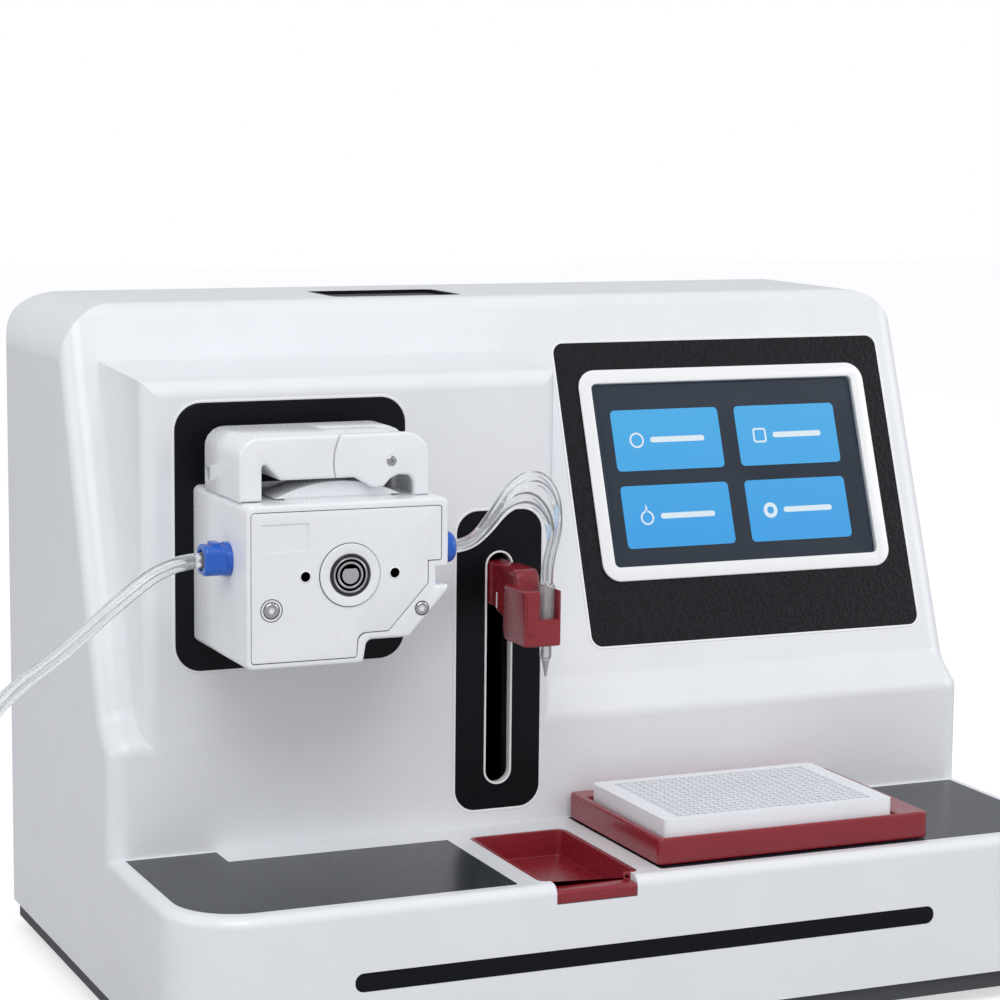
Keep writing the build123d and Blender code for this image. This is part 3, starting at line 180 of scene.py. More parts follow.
def object_coordinates(tree, stretch=(1, 1, 1)):
    """Coordinates in metres, stretched along the axes for brushed or drawn surfaces."""
    source = tree.nodes.new("ShaderNodeTexCoord")
    mapping = tree.nodes.new("ShaderNodeMapping")
    mapping.inputs["Scale"].default_value = stretch
    tree.links.new(source.outputs["Object"], mapping.inputs["Vector"])
    return mapping.outputs["Vector"]


def noise(tree, vector, size, detail=3.0):
    """Noise whose patches are about 'size' metres across."""
    node = tree.nodes.new("ShaderNodeTexNoise")
    node.inputs["Scale"].default_value = 1 / size
    node.inputs["Detail"].default_value = detail
    tree.links.new(vector, node.inputs["Vector"])
    return node.outputs["Fac"]


def between(tree, value, low, high):
    """A value from 0 to 1 spread between two limits."""
    node = tree.nodes.new("ShaderNodeMapRange")
    node.inputs["From Min"].default_value = 0.3
    node.inputs["From Max"].default_value = 0.7
    node.inputs["To Min"].default_value = low
    node.inputs["To Max"].default_value = high
    tree.links.new(value, node.inputs["Value"])
    return node.outputs["Result"]


def mottled(tree, value, colour, spread):
    """The colour, slightly lighter and darker from patch to patch."""
    ramp = tree.nodes.new("ShaderNodeValToRGB")
    ramp.color_ramp.elements[0].position = 0.3
    ramp.color_ramp.elements[1].position = 0.7
    for element, factor in zip(ramp.color_ramp.elements, (1 - spread, 1 + spread)):
        element.color = (*[min(1.0, channel * factor) for channel in colour], 1)
    tree.links.new(value, ramp.inputs["Fac"])
    return ramp.outputs["Color"]


def bump(tree, bsdf, height, depth, strength=1.0):
    node = tree.nodes.new("ShaderNodeBump")
    node.inputs["Distance"].default_value = depth
    node.inputs["Strength"].default_value = strength
    tree.links.new(height, node.inputs["Height"])
    tree.links.new(node.outputs["Normal"], bsdf.inputs["Normal"])


def surface(name, colour, rough, metallic=0.0, coat=0.0, mottle=0.015, patch=0.03, grain=0.0006,
            depth=0.00001, spread=0.05, stretch=(1, 1, 1), shine=0.5):
    """A material of one base colour with mottling, uneven gloss and a fine grain."""
    material, tree, bsdf = shader_material(name)
    vector = object_coordinates(tree, stretch)
    tree.links.new(mottled(tree, noise(tree, vector, patch), colour, mottle),
                   bsdf.inputs["Base Color"])
    fine = noise(tree, vector, grain, 4.0)
    tree.links.new(between(tree, fine, max(0.02, rough - spread), rough + spread),
                   bsdf.inputs["Roughness"])
    bsdf.inputs["Metallic"].default_value = metallic
    bsdf.inputs["Coat Weight"].default_value = coat
    bsdf.inputs["Coat Roughness"].default_value = 0.15
    bsdf.inputs["Specular IOR Level"].default_value = shine
    bump(tree, bsdf, fine, depth)
    return material


# %% Plain surfaces
surface("housing_white", (0.80, 0.81, 0.83), 0.33, coat=0.25, grain=0.0012, depth=0.000012)
surface("pump_white", (0.82, 0.83, 0.85), 0.28, coat=0.3, grain=0.0008, depth=0.000008)
# trim_white also colours the beads round the black panels, which are painted highlights.
surface("trim_white", (0.88, 0.88, 0.88), 0.22, coat=0.4, grain=0.0009, depth=0.000004)
surface("plate_white", (0.86, 0.87, 0.90), 0.30, coat=0.2, grain=0.0005, depth=0.000005)
surface("base_grey", (0.055, 0.058, 0.065), 0.55, grain=0.0007, depth=0.00003)
surface("inlay_slate", (0.020, 0.024, 0.031), 0.26, mottle=0.06, grain=0.0004, depth=0.000012,
        shine=0.34)
surface("smooth_black", (0.0035, 0.0045, 0.0065), 0.40, mottle=0.08, grain=0.0005, depth=0.00001,
        shine=0.16)
surface("inner_black", (0.0015, 0.0015, 0.0018), 0.80, mottle=0.08, grain=0.0009, shine=0.05)
# black_plastic also paints shade on the pump: the fill in the cover's gap, the rings in the grooves
# round the bearing plate and the screws, and the bottoms of the holes.
surface("black_plastic", (0.012, 0.012, 0.014), 0.42, mottle=0.08, grain=0.0006, depth=0.00003)
surface("red_plastic", (0.245, 0.011, 0.020), 0.27, coat=0.25, mottle=0.05, grain=0.0007,
        depth=0.00001)
surface("clip_blue", (0.008, 0.105, 0.52), 0.25, coat=0.3, mottle=0.05, grain=0.0006, depth=0.00001)
surface("foot_rubber", (0.018, 0.018, 0.020), 0.75, mottle=0.10, grain=0.0009, depth=0.00006)
surface("board_green", (0.010, 0.085, 0.030), 0.40, mottle=0.15, patch=0.006, grain=0.0011,
        depth=0.00004)
surface("motor_black", (0.020, 0.020, 0.022), 0.38, mottle=0.08, grain=0.0009, depth=0.00003)

# %% Metals
ALONG_Z = (1, 1, 0.06)
ALONG_Y = (1, 0.06, 1)
surface("screw_steel", (0.50, 0.50, 0.52), 0.30, metallic=1.0, stretch=ALONG_Y, grain=0.0003,
        depth=0.00001)
surface("steel_bright", (0.62, 0.62, 0.64), 0.22, metallic=1.0, stretch=ALONG_Z, grain=0.0003,
        depth=0.000008)
surface("steel_sheet", (0.52, 0.53, 0.54), 0.42, metallic=1.0, mottle=0.08, patch=0.008,
        grain=0.0008)
surface("aluminium_grey", (0.62, 0.63, 0.64), 0.36, metallic=1.0, stretch=ALONG_Z, grain=0.0004)
surface("brass_pins", (0.58, 0.42, 0.16), 0.28, metallic=1.0, stretch=ALONG_Y, grain=0.0004)
surface("bearing_dark", (0.045, 0.045, 0.050), 0.30, metallic=0.8, stretch=ALONG_Y, grain=0.0004)
print(len(materials), "plain materials")


# %% Leather-grained panel
LEATHER_SHINE = 0.2


def leather_grain(name, colour, cell, depth):
    """Moulded black plastic with a pebbled leather grain."""
    material, tree, bsdf = shader_material(name)
    vector = object_coordinates(tree)
    pebbles = tree.nodes.new("ShaderNodeTexVoronoi")
    pebbles.feature = "SMOOTH_F1"
    pebbles.inputs["Scale"].default_value = 1 / cell
    pebbles.inputs["Smoothness"].default_value = 0.4
    tree.links.new(vector, pebbles.inputs["Vector"])
    height = pebbles.outputs["Distance"]
    tree.links.new(mottled(tree, height, colour, 0.35), bsdf.inputs["Base Color"])
    tree.links.new(between(tree, noise(tree, vector, 0.004), 0.36, 0.50), bsdf.inputs["Roughness"])
    bump(tree, bsdf, height, -depth)
    bsdf.inputs["Specular IOR Level"].default_value = LEATHER_SHINE
    return material


leather_grain("panel_black", (0.0060, 0.0068, 0.0085), 0.0021, 0.00022)


# %% Clear tubing and glass
def clear_material(name, colour, rough, through, ior, grain=0.002):
    """Clear or milky plastic that light passes through."""
    material, tree, bsdf = shader_material(name)
    vector = object_coordinates(tree)
    patches = noise(tree, vector, grain)
    tree.links.new(mottled(tree, patches, colour, 0.02), bsdf.inputs["Base Color"])
    tree.links.new(between(tree, patches, rough, rough + 0.05), bsdf.inputs["Roughness"])
    bsdf.inputs["Transmission Weight"].default_value = through
    bsdf.inputs["IOR"].default_value = ior
    return material


def cover_glass(name, colour, alpha):
    """A thin cover that shows what lies behind it under a faint reflection."""
    material, tree, bsdf = shader_material(name)
    vector = object_coordinates(tree)
    smears = noise(tree, vector, 0.02)
    tree.links.new(mottled(tree, smears, colour, 0.02), bsdf.inputs["Base Color"])
    tree.links.new(between(tree, smears, 0.04, 0.12), bsdf.inputs["Roughness"])
    bsdf.inputs["Alpha"].default_value = alpha
    return material


clear_material("tube_clear", (0.96, 0.97, 0.98), 0.05, 0.86, 1.38)
clear_material("well_clear", (0.90, 0.92, 0.95), 0.10, 0.55, 1.45)
cover_glass("display_glass", (0.02, 0.10, 0.22), 0.10)


# %% Lit display
def lit(name, low_colour, high_colour, strength, low, high):
    """A lit surface whose colour changes evenly with height."""
    material, tree, bsdf = shader_material(name)
    source = tree.nodes.new("ShaderNodeTexCoord")
    split = tree.nodes.new("ShaderNodeSeparateXYZ")
    tree.links.new(source.outputs["Object"], split.inputs[0])
    spread = tree.nodes.new("ShaderNodeMapRange")
    spread.inputs["From Min"].default_value = low
    spread.inputs["From Max"].default_value = high
    tree.links.new(split.outputs["Z"], spread.inputs["Value"])
    ramp = tree.nodes.new("ShaderNodeValToRGB")
    ramp.color_ramp.elements[0].color = (*low_colour, 1)
    ramp.color_ramp.elements[1].color = (*high_colour, 1)
    tree.links.new(spread.outputs["Result"], ramp.inputs["Fac"])
    tree.links.new(ramp.outputs["Color"], bsdf.inputs["Emission Color"])
    bsdf.inputs["Emission Strength"].default_value = strength
    bsdf.inputs["Base Color"].default_value = (0.01, 0.02, 0.03, 1)
    bsdf.inputs["Roughness"].default_value = 0.3
    return material


DISPLAY_LOW, DISPLAY_HIGH = 0.205, 0.298
lit("display_blue", (0.004, 0.165, 0.62), (0.018, 0.27, 0.79), 0.92, DISPLAY_LOW, DISPLAY_HIGH)
lit("button_blue", (0.035, 0.36, 0.84), (0.075, 0.47, 0.88), 0.92, DISPLAY_LOW, DISPLAY_HIGH)
lit("icon_white", (0.80, 0.92, 0.98), (0.86, 0.95, 1.0), 0.92, DISPLAY_LOW, DISPLAY_HIGH)
print(len(materials), "materials in all")

# %% [markdown]
# ## Tubes
#
# Four thin clear tubes run from the pump's left clip down to the bench, where their spare
# length is coiled, and four more run from its right clip over to the dispensing tip. Each tube
# is 3.2 mm thick. The bundle follows one smooth curve, and each tube keeps its own place in it.

# %% Tube routes
TUBE_RADIUS = 1.6 * MM
BUNDLE_DIAMETER = 0.0077
SUPPLY_ROUTE = [(-207.5, -98, 236.5), (-222, -98, 236.5), (-246, -98.6, 220), (-272, -99, 198),
                (-300, -99, 180), (-322, -97, 150), (-333, -92, 108), (-338, -80, 68),
                (-340, -62, 34), (-325, -47.5, 13), (-308, -42.0, 4.6), (-294, -41.8, 3.9)]
COIL_PLACE = (-296.0, -92.0)
COIL_RADIUS = 38.0
COIL_TURNS = 2
COIL_POINTS_PER_TURN = 14
COIL_RISE = 4.2
OUTLET_ROUTE = [(-83.3, -98, 236.5), (-75, -98, 236.5), (-65, -98.2, 246), (-54, -98.6, 259.5),
                (-42, -99.3, 262), (-33.5, -100.2, 253), (-31.5, -101, 239), (-36.2, -101.5, 226),
                (-36.2, -101.5, 216.0)]


def coil_points():
    """The turns of the coil, each lying on the one before."""
    points = []
    for i in range(2, COIL_TURNS * COIL_POINTS_PER_TURN):
        angle = pi / 2 - 2 * pi * i / COIL_POINTS_PER_TURN
        radius = COIL_RADIUS + 2.2 * sin(2.3 * angle)
        height = BUNDLE_DIAMETER / MM / 2 + COIL_RISE * i / COIL_POINTS_PER_TURN
        points.append((COIL_PLACE[0] + radius * cos(angle), COIL_PLACE[1] + radius * sin(angle),
                       height))
    return points


def smooth_route(name, points):
    """Points along the smooth curve that a list of route points controls."""
    data = bpy.data.curves.new(name, "CURVE")
    data.dimensions = "3D"
    data.resolution_u = 10
    spline = data.splines.new("NURBS")
    spline.points.add(len(points) - 1)
    for point, place in zip(spline.points, points):
        point.co = (*[value * MM for value in place], 1)
    spline.order_u = 3
    spline.use_endpoint_u = True
    curve = bpy.data.objects.new(name, data)
    bpy.context.scene.collection.objects.link(curve)
    bpy.context.view_layer.update()
    mesh = bpy.data.meshes.new_from_object(curve)
    path = [vertex.co.copy() for vertex in mesh.vertices]
    bpy.data.objects.remove(curve)
    return path


def route_frames(path):
    """A direction and two side directions at each point of a path, without twist."""
    frames = []
    side = None
    for i in range(len(path)):
        ahead = (path[min(i + 1, len(path) - 1)] - path[max(i - 1, 0)]).normalized()
        if side is None:
            side = ahead.orthogonal().normalized()
        side = (side - ahead * side.dot(ahead)).normalized()
        frames.append((ahead, side, ahead.cross(side)))
    return frames


def path_length(path):
    return sum((b - a).length for a, b in zip(path, path[1:]))


def add_tube(mesh, centres, frames, radius, sides=12):
    """Adds one closed tube that follows a list of centres."""
    rings = []
    for centre, (ahead, side, other) in zip(centres, frames):
        ring = [mesh.verts.new(centre + (side * cos(a) + other * sin(a)) * radius)
                for a in (2 * pi * k / sides for k in range(sides))]
        rings.append(ring)
    for a, b in zip(rings, rings[1:]):
        for k in range(sides):
            mesh.faces.new((a[k], a[(k + 1) % sides], b[(k + 1) % sides], b[k]))
    mesh.faces.new(list(reversed(rings[0])))
    mesh.faces.new(rings[-1])


def mesh_object(name, mesh, material, smooth=True):
    """An object from a bmesh, with its material."""
    data = bpy.data.meshes.new(name)
    bmesh.ops.recalc_face_normals(mesh, faces=mesh.faces[:])
    mesh.to_mesh(data)
    mesh.free()
    for polygon in data.polygons:
        polygon.use_smooth = smooth
    data.materials.append(materials[material])
    piece = bpy.data.objects.new(name, data)
    bpy.context.scene.collection.objects.link(piece)
    return piece


# %% Tube bundles
SUPPLY_OFFSETS = [(0.0, 2.1), (2.1, -0.6), (-2.1, 0.4), (0.2, -2.1)]


def in_world(ahead, across, rise):
    """An offset across a route: sideways in the level plane, and upward square to the route."""
    level = ahead.cross(Vector((0, 0, 1)))
    level = level.normalized() if level.length > 0.05 else Vector((0, 1, 0))
    upward = level.cross(ahead).normalized()
    return level * across + upward * rise


def bundle(name, path, offsets, widening):
    """Four tubes in one mesh. 'widening' gives each tube's extra offset at a share of the way."""
    frames = route_frames(path)
    mesh = bmesh.new()
    last = len(path) - 1
    for number, (across, rise) in enumerate(offsets):
        centres = []
        for i, (centre, (ahead, side, other)) in enumerate(zip(path, frames)):
            more_across, more_rise = widening(number, i / last)
            centres.append(centre + (side * across + other * rise) * MM
                           + in_world(ahead, more_across, more_rise) * MM)
        add_tube(mesh, centres, frames, TUBE_RADIUS)
    return mesh_object(name, mesh, "tube_clear")


def supply_widening(number, share):
    """The tubes part a little where they hang free, about a third of the way along."""
    hump = max(0.0, sin(pi * min(1.0, share / 0.42))) ** 2
    return (0.0, (3.0, 1.0, -1.0, -2.6)[number] * hump)


# Each outlet tube keeps the middle route's ends and rises by its own height, in millimetres,
# over the top of the loop.
OUTLET_TUBES = {"outlet_tube_1": ((0.0, 1.7), 7.5, 1.0), "outlet_tube_2": ((-1.7, 0.0), 4.5, -0.5),
                "outlet_tube_3": ((1.7, 0.0), -2.0, 0.5),
                "outlet_tube_4": ((0.0, -1.7), -5.0, -1.0)}


def outlet_route(place_in_bundle, height, lean):
    """Route points of one outlet tube: out of the clip, over the loop and down to the sleeve."""
    last = len(OUTLET_ROUTE) - 1
    across, above = place_in_bundle
    route = []
    for i, (x, y, z) in enumerate(OUTLET_ROUTE):
        share = i / last
        hump = max(0.0, sin(pi * (i - 1) / (last - 2))) if 0 < i < last - 1 else 0.0
        route.append((x + above * share + height * 0.55 * hump * share, y + across + lean * hump,
                      z + above * (1 - share) + height * hump))
    return route


supply_path = smooth_route("supply_route", SUPPLY_ROUTE + coil_points())
supply_bundle = bundle("supply_bundle", supply_path, SUPPLY_OFFSETS, supply_widening)
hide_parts("supply_tubes", "supply_coil")
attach(supply_bundle, "chassis")
print("supply length", round(path_length(supply_path), 3))

for name, (place_in_bundle, height, lean) in OUTLET_TUBES.items():
    route = outlet_route(place_in_bundle, height, lean)
    path = smooth_route(name + "_route", route)
    mesh = bmesh.new()
    add_tube(mesh, path, route_frames(path), TUBE_RADIUS)
    tube = mesh_object(name, mesh, "tube_clear")
    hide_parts("outlet_tubes")
    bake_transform(tube)
    print(name, "length", round(path_length(path), 4))

# %% [markdown]
# ## The frame's own surfaces
#
# Each CAD node that keeps its shape gets the material of the record's slot. A few need
# another one than their slot's.

# %% Materials of the CAD nodes
NODE_MATERIALS = {"slot_panel": "smooth_black", "pump_backplate": "smooth_black",
                  "front_strip": "smooth_black", "top_insert": "smooth_black",
                  "lift_frame": "inner_black", "lift_carriage": "inner_black",
                  "display_module": "motor_black"}


def dress_nodes():
    for part in frame["record"]["subparts"]:
        name = NODE_MATERIALS.get(part["node"], part["material_slot"])
        node = frame["nodes"][part["node"]]
        node.data.materials.clear()
        node.data.materials.append(materials[name])


dress_nodes()
print(len(frame["nodes"]), "nodes dressed")

# %% [markdown]
# ## Display
#
# The lit picture lies just behind the cover glass: a blue ground with four lighter buttons.
# Each button carries a plain symbol and a bar.

# %% Leaning face
FACE_LEAN = radians(20)
FACE_FOOT = Vector((0, -29.5 * MM, 151 * MM))
FACE_UP = Vector((0, sin(FACE_LEAN), cos(FACE_LEAN)))
FACE_OUT = Vector((0, -cos(FACE_LEAN), sin(FACE_LEAN)))


def on_face(x, up, out):
    """A point given by its place across the leaning face, up it and out of it, in millimetres."""
    return FACE_FOOT + Vector((x * MM, 0, 0)) + FACE_UP * up * MM + FACE_OUT * out * MM


def rounded_outline(x0, x1, y0, y1, radius, steps=6):
    """Corner points of a rounded rectangle, anticlockwise."""
    points = []
    for cx, cy, start in ((x1 - radius, y1 - radius, 0), (x0 + radius, y1 - radius, 90),
                          (x0 + radius, y0 + radius, 180), (x1 - radius, y0 + radius, 270)):
        for k in range(steps + 1):
            angle = radians(start + 90 * k / steps)
            points.append((cx + radius * cos(angle), cy + radius * sin(angle)))
    return points


def face_plate(name, outline, out, material, holes=()):
    """A thin flat shape on the leaning face, with holes as inner outlines of as many points."""
    mesh = bmesh.new()
    outer = [mesh.verts.new(on_face(x, up, out)) for x, up in outline]
    if holes:
        inner = [mesh.verts.new(on_face(x, up, out)) for x, up in holes[0]]
        count = len(outer)
        for k in range(count):
            mesh.faces.new((outer[k], outer[(k + 1) % count], inner[(k + 1) % count], inner[k]))
    else:
        mesh.faces.new(outer)
    return mesh_object(name, mesh, material, smooth=False)


# %% Buttons and symbols
PICTURE_OUT = -1.47
BUTTON_COLUMNS = ((54.5, 118.0), (128.0, 189.0))
BUTTON_ROWS = ((109.0, 142.0), (67.5, 101.0))


def circle(x, y, radius, count=28):
    return [(x + radius * cos(2 * pi * k / count), y + radius * sin(2 * pi * k / count))
            for k in range(count)]


def symbol(name, kind, x, y):
    """A plain symbol: a ring, a square, a drop or a dial."""
    if kind == "ring":
        outer, inner = circle(x, y, 4.2), circle(x, y, 3.2)
    elif kind == "square":
        outer = rounded_outline(x - 4, x + 4, y - 4, y + 4, 1.5)
        inner = rounded_outline(x - 3, x + 3, y - 3, y + 3, 0.7)
    elif kind == "drop":
        outer = [(px, py + (3.6 if k == 7 else 0))
                 for k, (px, py) in enumerate(circle(x, y - 0.6, 3.9))]
        inner = [(px, py + (2.2 if k == 7 else 0))
                 for k, (px, py) in enumerate(circle(x, y - 0.6, 2.9))]
    else:
        outer, inner = circle(x, y, 4.2), circle(x, y, 2.0)
    return face_plate(name, outer, PICTURE_OUT + 0.04, "icon_white", holes=(inner,))


def make_buttons():
    kinds = iter(("ring", "square", "drop", "dial"))
    for row, (low, high) in enumerate(BUTTON_ROWS):
        for column, (left, right) in enumerate(BUTTON_COLUMNS):
            name = f"button_{row + 1}_{column + 1}"
            plate = face_plate(name, rounded_outline(left, right, low, high, 2.5),
                               PICTURE_OUT + 0.02, "button_blue")
            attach(plate, "chassis")
            middle = (low + high) / 2
            icon = symbol(f"symbol_{row + 1}_{column + 1}", next(kinds), left + 13.5, middle)
            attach(icon, "chassis")
            bar = face_plate(f"bar_{row + 1}_{column + 1}",
                             rounded_outline(left + 21.5, right - 10, middle - 1.5, middle + 1.5,
                                             1.4),
                             PICTURE_OUT + 0.04, "icon_white")
            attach(bar, "chassis")


make_buttons()
print("buttons:", len(BUTTON_ROWS) * len(BUTTON_COLUMNS))

# %% [markdown]
# ## Moulded shapes
#
# Moulded plastic has no knife edges: every corner carries a small round that catches the light.
# Each slab here is a stack of outlines, every one a little further in than the last, so the round
# of its edge is part of the mesh. A bevel modifier could do it too, but a stack keeps the rounds
# even where an outline turns inwards.

# %% Rounded outlines
def inset_points(points, distance):
    """Moves every side of an anticlockwise polygon inwards."""
    moved = []
    for before, here, after in zip(points[-1:] + points[:-1], points, points[1:] + points[:1]):
        a = (Vector(here) - Vector(before)).normalized()
        b = (Vector(after) - Vector(here)).normalized()
        side_a, side_b = Vector((-a.y, a.x)), Vector((-b.y, b.x))
        moved.append(Vector(here) + (side_a + side_b) * (distance / (1 + side_a.dot(side_b))))
    return moved


def outline_at(corners, distance=0.0, steps=5):
    """The outline of (x, z, round) corners, moved inwards, with an arc at each corner."""
    points = [(x, z) for x, z, _ in corners]
    moved = inset_points(points, distance)
    outline = []
    for i, here in enumerate(moved):
        a = (moved[i - 1] - here).normalized()
        b = (moved[(i + 1) % len(moved)] - here).normalized()
        inward = a.x * b.y - a.y * b.x < 0
        radius = max(corners[i][2] - distance, 0.05) if inward else corners[i][2] + distance
        half = a.angle(b) / 2
        if half > 1.55:
            outline += [here.copy() for _ in range(steps + 1)]
            continue
        centre = here + (a + b).normalized() * (radius / sin(half))
        touch = radius / tan(half)
        start, end = here + a * touch - centre, here + b * touch - centre
        outline += [centre + start.lerp(end, k / steps).normalized() * radius
                    for k in range(steps + 1)]
    return outline


def smooth_by_angle(piece, angle=32):
    for polygon in piece.data.polygons:
        polygon.use_smooth = True
    piece.data.set_sharp_from_angle(angle=radians(angle))


def slab(name, corners, back, front, material, edge=0.8, back_edge=0.0, steps=3):
    """A slab from y back to y front, its front edge rounded."""
    layers = []
    if back_edge:
        layers = [(back_edge * (1 - sin(a)), back - back_edge * (1 - cos(a)))
                  for a in (k * pi / 2 / steps for k in range(steps))]
    layers.append((0.0, back - back_edge))
    layers += [(edge * (1 - cos(a)), front + edge * (1 - sin(a)))
               for a in (k * pi / 2 / steps for k in range(steps + 1))]
    mesh = bmesh.new()
    loops = [[mesh.verts.new((p.x * MM, y * MM, p.y * MM)) for p in outline_at(corners, distance)]
             for distance, y in layers]
    for low, high in zip(loops, loops[1:]):
        count = len(low)
        for k in range(count):
            mesh.faces.new((low[k], low[(k + 1) % count], high[(k + 1) % count], high[k]))
    mesh.faces.new(list(reversed(loops[0])))
    mesh.faces.new(loops[-1])
    bmesh.ops.remove_doubles(mesh, verts=mesh.verts[:], dist=1e-7)
    piece = mesh_object(name, mesh, material)
    smooth_by_angle(piece)
    return piece


# %% Cuts and turned pieces
def cut(piece, cutter):
    """Takes the cutter's shape out of a piece."""
    modifier = piece.modifiers.new("cut", "BOOLEAN")
    modifier.operation = "DIFFERENCE"
    modifier.solver = "EXACT"
    modifier.object = cutter
    graph = bpy.context.evaluated_depsgraph_get()
    result = bpy.data.meshes.new_from_object(piece.evaluated_get(graph))
    piece.modifiers.clear()
    piece.data = result
    bpy.data.objects.remove(cutter)
    smooth_by_angle(piece)


def box_cutter(x0, x1, y0, y1, z0, z1):
    mesh = bmesh.new()
    bmesh.ops.create_cube(mesh, size=1.0)
    for vert in mesh.verts:
        vert.co = Vector(((x0 + x1) / 2 + vert.co.x * (x1 - x0),
                          (y0 + y1) / 2 + vert.co.y * (y1 - y0),
                          (z0 + z1) / 2 + vert.co.z * (z1 - z0))) * MM
    return mesh_object("cutter", mesh, "pump_white", smooth=False)


def turned(name, x, z, profile, material, sides=56, socket=0):
    """A piece turned about Y from (radius, y) pairs; the first few can be a hexagon."""
    mesh = bmesh.new()
    rings = []
    for place, (radius, y) in enumerate(profile):
        ring = []
        for k in range(sides):
            a = 2 * pi * k / sides
            r = radius * cos(pi / 6) / cos(a % (pi / 3) - pi / 6) if place < socket else radius
            ring.append(mesh.verts.new(((x + r * cos(a)) * MM, y * MM, (z + r * sin(a)) * MM)))
        rings.append(ring)
    for low, high in zip(rings, rings[1:]):
        for k in range(sides):
            mesh.faces.new((low[k], low[(k + 1) % sides], high[(k + 1) % sides], high[k]))
    mesh.faces.new(list(reversed(rings[0])))
    mesh.faces.new(rings[-1])
    piece = mesh_object(name, mesh, material)
    smooth_by_angle(piece)
    return piece


def drill(piece, x, z, radius, y_back, y_front):
    cut(piece, turned("drill", x, z, [(radius, y_back), (radius, y_front)], "pump_white", sides=48))


# %% [markdown]
# ## Pump head
#
# The pump is the most worked piece: a casing with a step and a notch at its right, a cover set
# into it with a black fill in the gap round it as painted shade, a bearing with the D-shaped end
# of the shaft, and an arch above it. The left end of the arch is a lever that swings up about
# the steel pin, and the bed under it then rises off the rollers.

# %% Casing and cover
PUMP_FRONT = -125.0
PUMP_AXIS = (-145.2, 230.5)
CASING = [(-194.3, 189.0, 3.0), (-138.4, 189.0, 2.2), (-136.6, 199.8, 3.2), (-115.9, 199.8, 0.8),
          (-96.6, 220.8, 1.6), (-96.6, 223.2, 0.5), (-102.5, 223.2, 0.2), (-102.5, 231.2, 0.2),
          (-96.6, 231.2, 1.6), (-96.6, 264.0, 3.0), (-194.3, 264.0, 3.0)]
COVER = [(-192.2, 192.2, 1.5), (-141.9, 192.2, 1.2), (-141.2, 203.4, 4.0), (-126.2, 203.6, 1.2),
         (-106.9, 224.6, 0.6), (-106.9, 235.2, 0.4), (-100.4, 235.2, 0.6), (-100.4, 260.2, 1.0),
         (-192.2, 260.6, 1.8)]
COVER_GAP = 0.42
COVER_DEPTH = 3.6
HOLES = [(-166.6, 230.8), (-123.3, 230.3)]
SCREWS = [(-182.8, 216.2, 3.5), (-109.8, 213.0, 3.0)]
BED_SLOT = (-171.5, -118.9, -110.3, -85.7)


def make_casing():
    casing = slab("pump_casing", CASING, -45.6, PUMP_FRONT, "pump_white", edge=1.6)
    seat = [(x, z, r + COVER_GAP) for (x, z), (_, _, r) in
            zip(((p.x, p.y) for p in inset_points([(x, z) for x, z, _ in COVER], -COVER_GAP)),
                COVER)]
    recess = slab("seat", seat, PUMP_FRONT + COVER_DEPTH, PUMP_FRONT - 2, "pump_white", edge=0.01,
                  steps=1)
    cut(casing, recess)
    cut(casing, box_cutter(*BED_SLOT, 238.0, 266.0))
    drill(casing, *PUMP_AXIS, 30.0, -66.0, -121.0)
    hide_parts("pump_body")
    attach(casing, "chassis")
    # The black fill in the gap round the cover, up to 1.3 mm behind the pump's front, is painted
    # shade.
    gap_shade = slab("cover_gap_shade", seat, PUMP_FRONT + COVER_DEPTH - 0.05, PUMP_FRONT + 1.3,
                "black_plastic", edge=0.01, steps=1)
    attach(gap_shade, "chassis")
    return casing, gap_shade


def make_cover(gap_shade):
    cover = slab("pump_front_cover", COVER, PUMP_FRONT + COVER_DEPTH - 0.1, PUMP_FRONT,
                 "pump_white", edge=0.3)
    for piece in (cover, gap_shade):
        drill(piece, *PUMP_AXIS, 9.6, -118.0, -128.0)
        for x, z in HOLES:
            drill(piece, x, z, 2.35, -118.0, -128.0)
    cut(cover, box_cutter(-187.4, -164.9, -126.5, PUMP_FRONT + 0.45, 242.3, 255.3))
    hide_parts("pump_cover")
    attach(cover, "chassis")


pump_casing, cover_gap_shade = make_casing()
make_cover(cover_gap_shade)
print("casing and cover:", len(pump_casing.data.polygons), "faces")

# %% Bearing, holes and screws
# Each section is a list of (radius, distance behind the pump's front) pairs.
RINGS = {
    "bearing_plate": ("pump_white", [(10.0, 1), (10.0, -0.7), (10.3, -0.8), (14.2, -0.8),
                                     (14.5, -0.5), (14.5, 1), (10.0, 1)]),
    # A thin black ring round the bearing plate: painted shade in the groove at its edge.
    "plate_groove_shade": ("black_plastic", [(14.4, 1), (14.4, -0.12), (14.85, -0.12), (14.85, 1),
                                      (14.4, 1)]),
    "bearing_outer_ring": ("bearing_dark", [(8.3, 0), (8.3, -0.9), (8.5, -1.05), (9.4, -1.05),
                                            (9.6, -0.9), (9.6, 0), (8.3, 0)]),
    "bearing_bright_ring": ("screw_steel", [(7.4, 0), (7.4, -0.95), (7.8, -1.1), (8.2, -0.95),
                                            (8.2, 0), (7.4, 0)]),
    "bearing_inner_ring": ("screw_steel", [(5.2, 0), (5.2, -0.8), (5.6, -0.95), (6.2, -0.8),
                                           (6.2, 0), (5.2, 0)]),
}
HOLE_RIM = [(2.3, 0), (2.3, -0.25), (2.6, -0.3), (2.95, -0.05), (2.95, 0.3), (2.3, 0)]
# A black disc at the bottom of each hole: painted shade inside the hole.
HOLE_SHADE = [(2.3, 3.2), (2.3, 2.4), (1.4, 2.2)]
# A black ring in the left screw's seat: painted shade in its groove.
SEAT_GROOVE_SHADE = [(4.95, 1), (4.95, -0.1), (5.3, -0.1), (5.3, 1), (4.95, 1)]


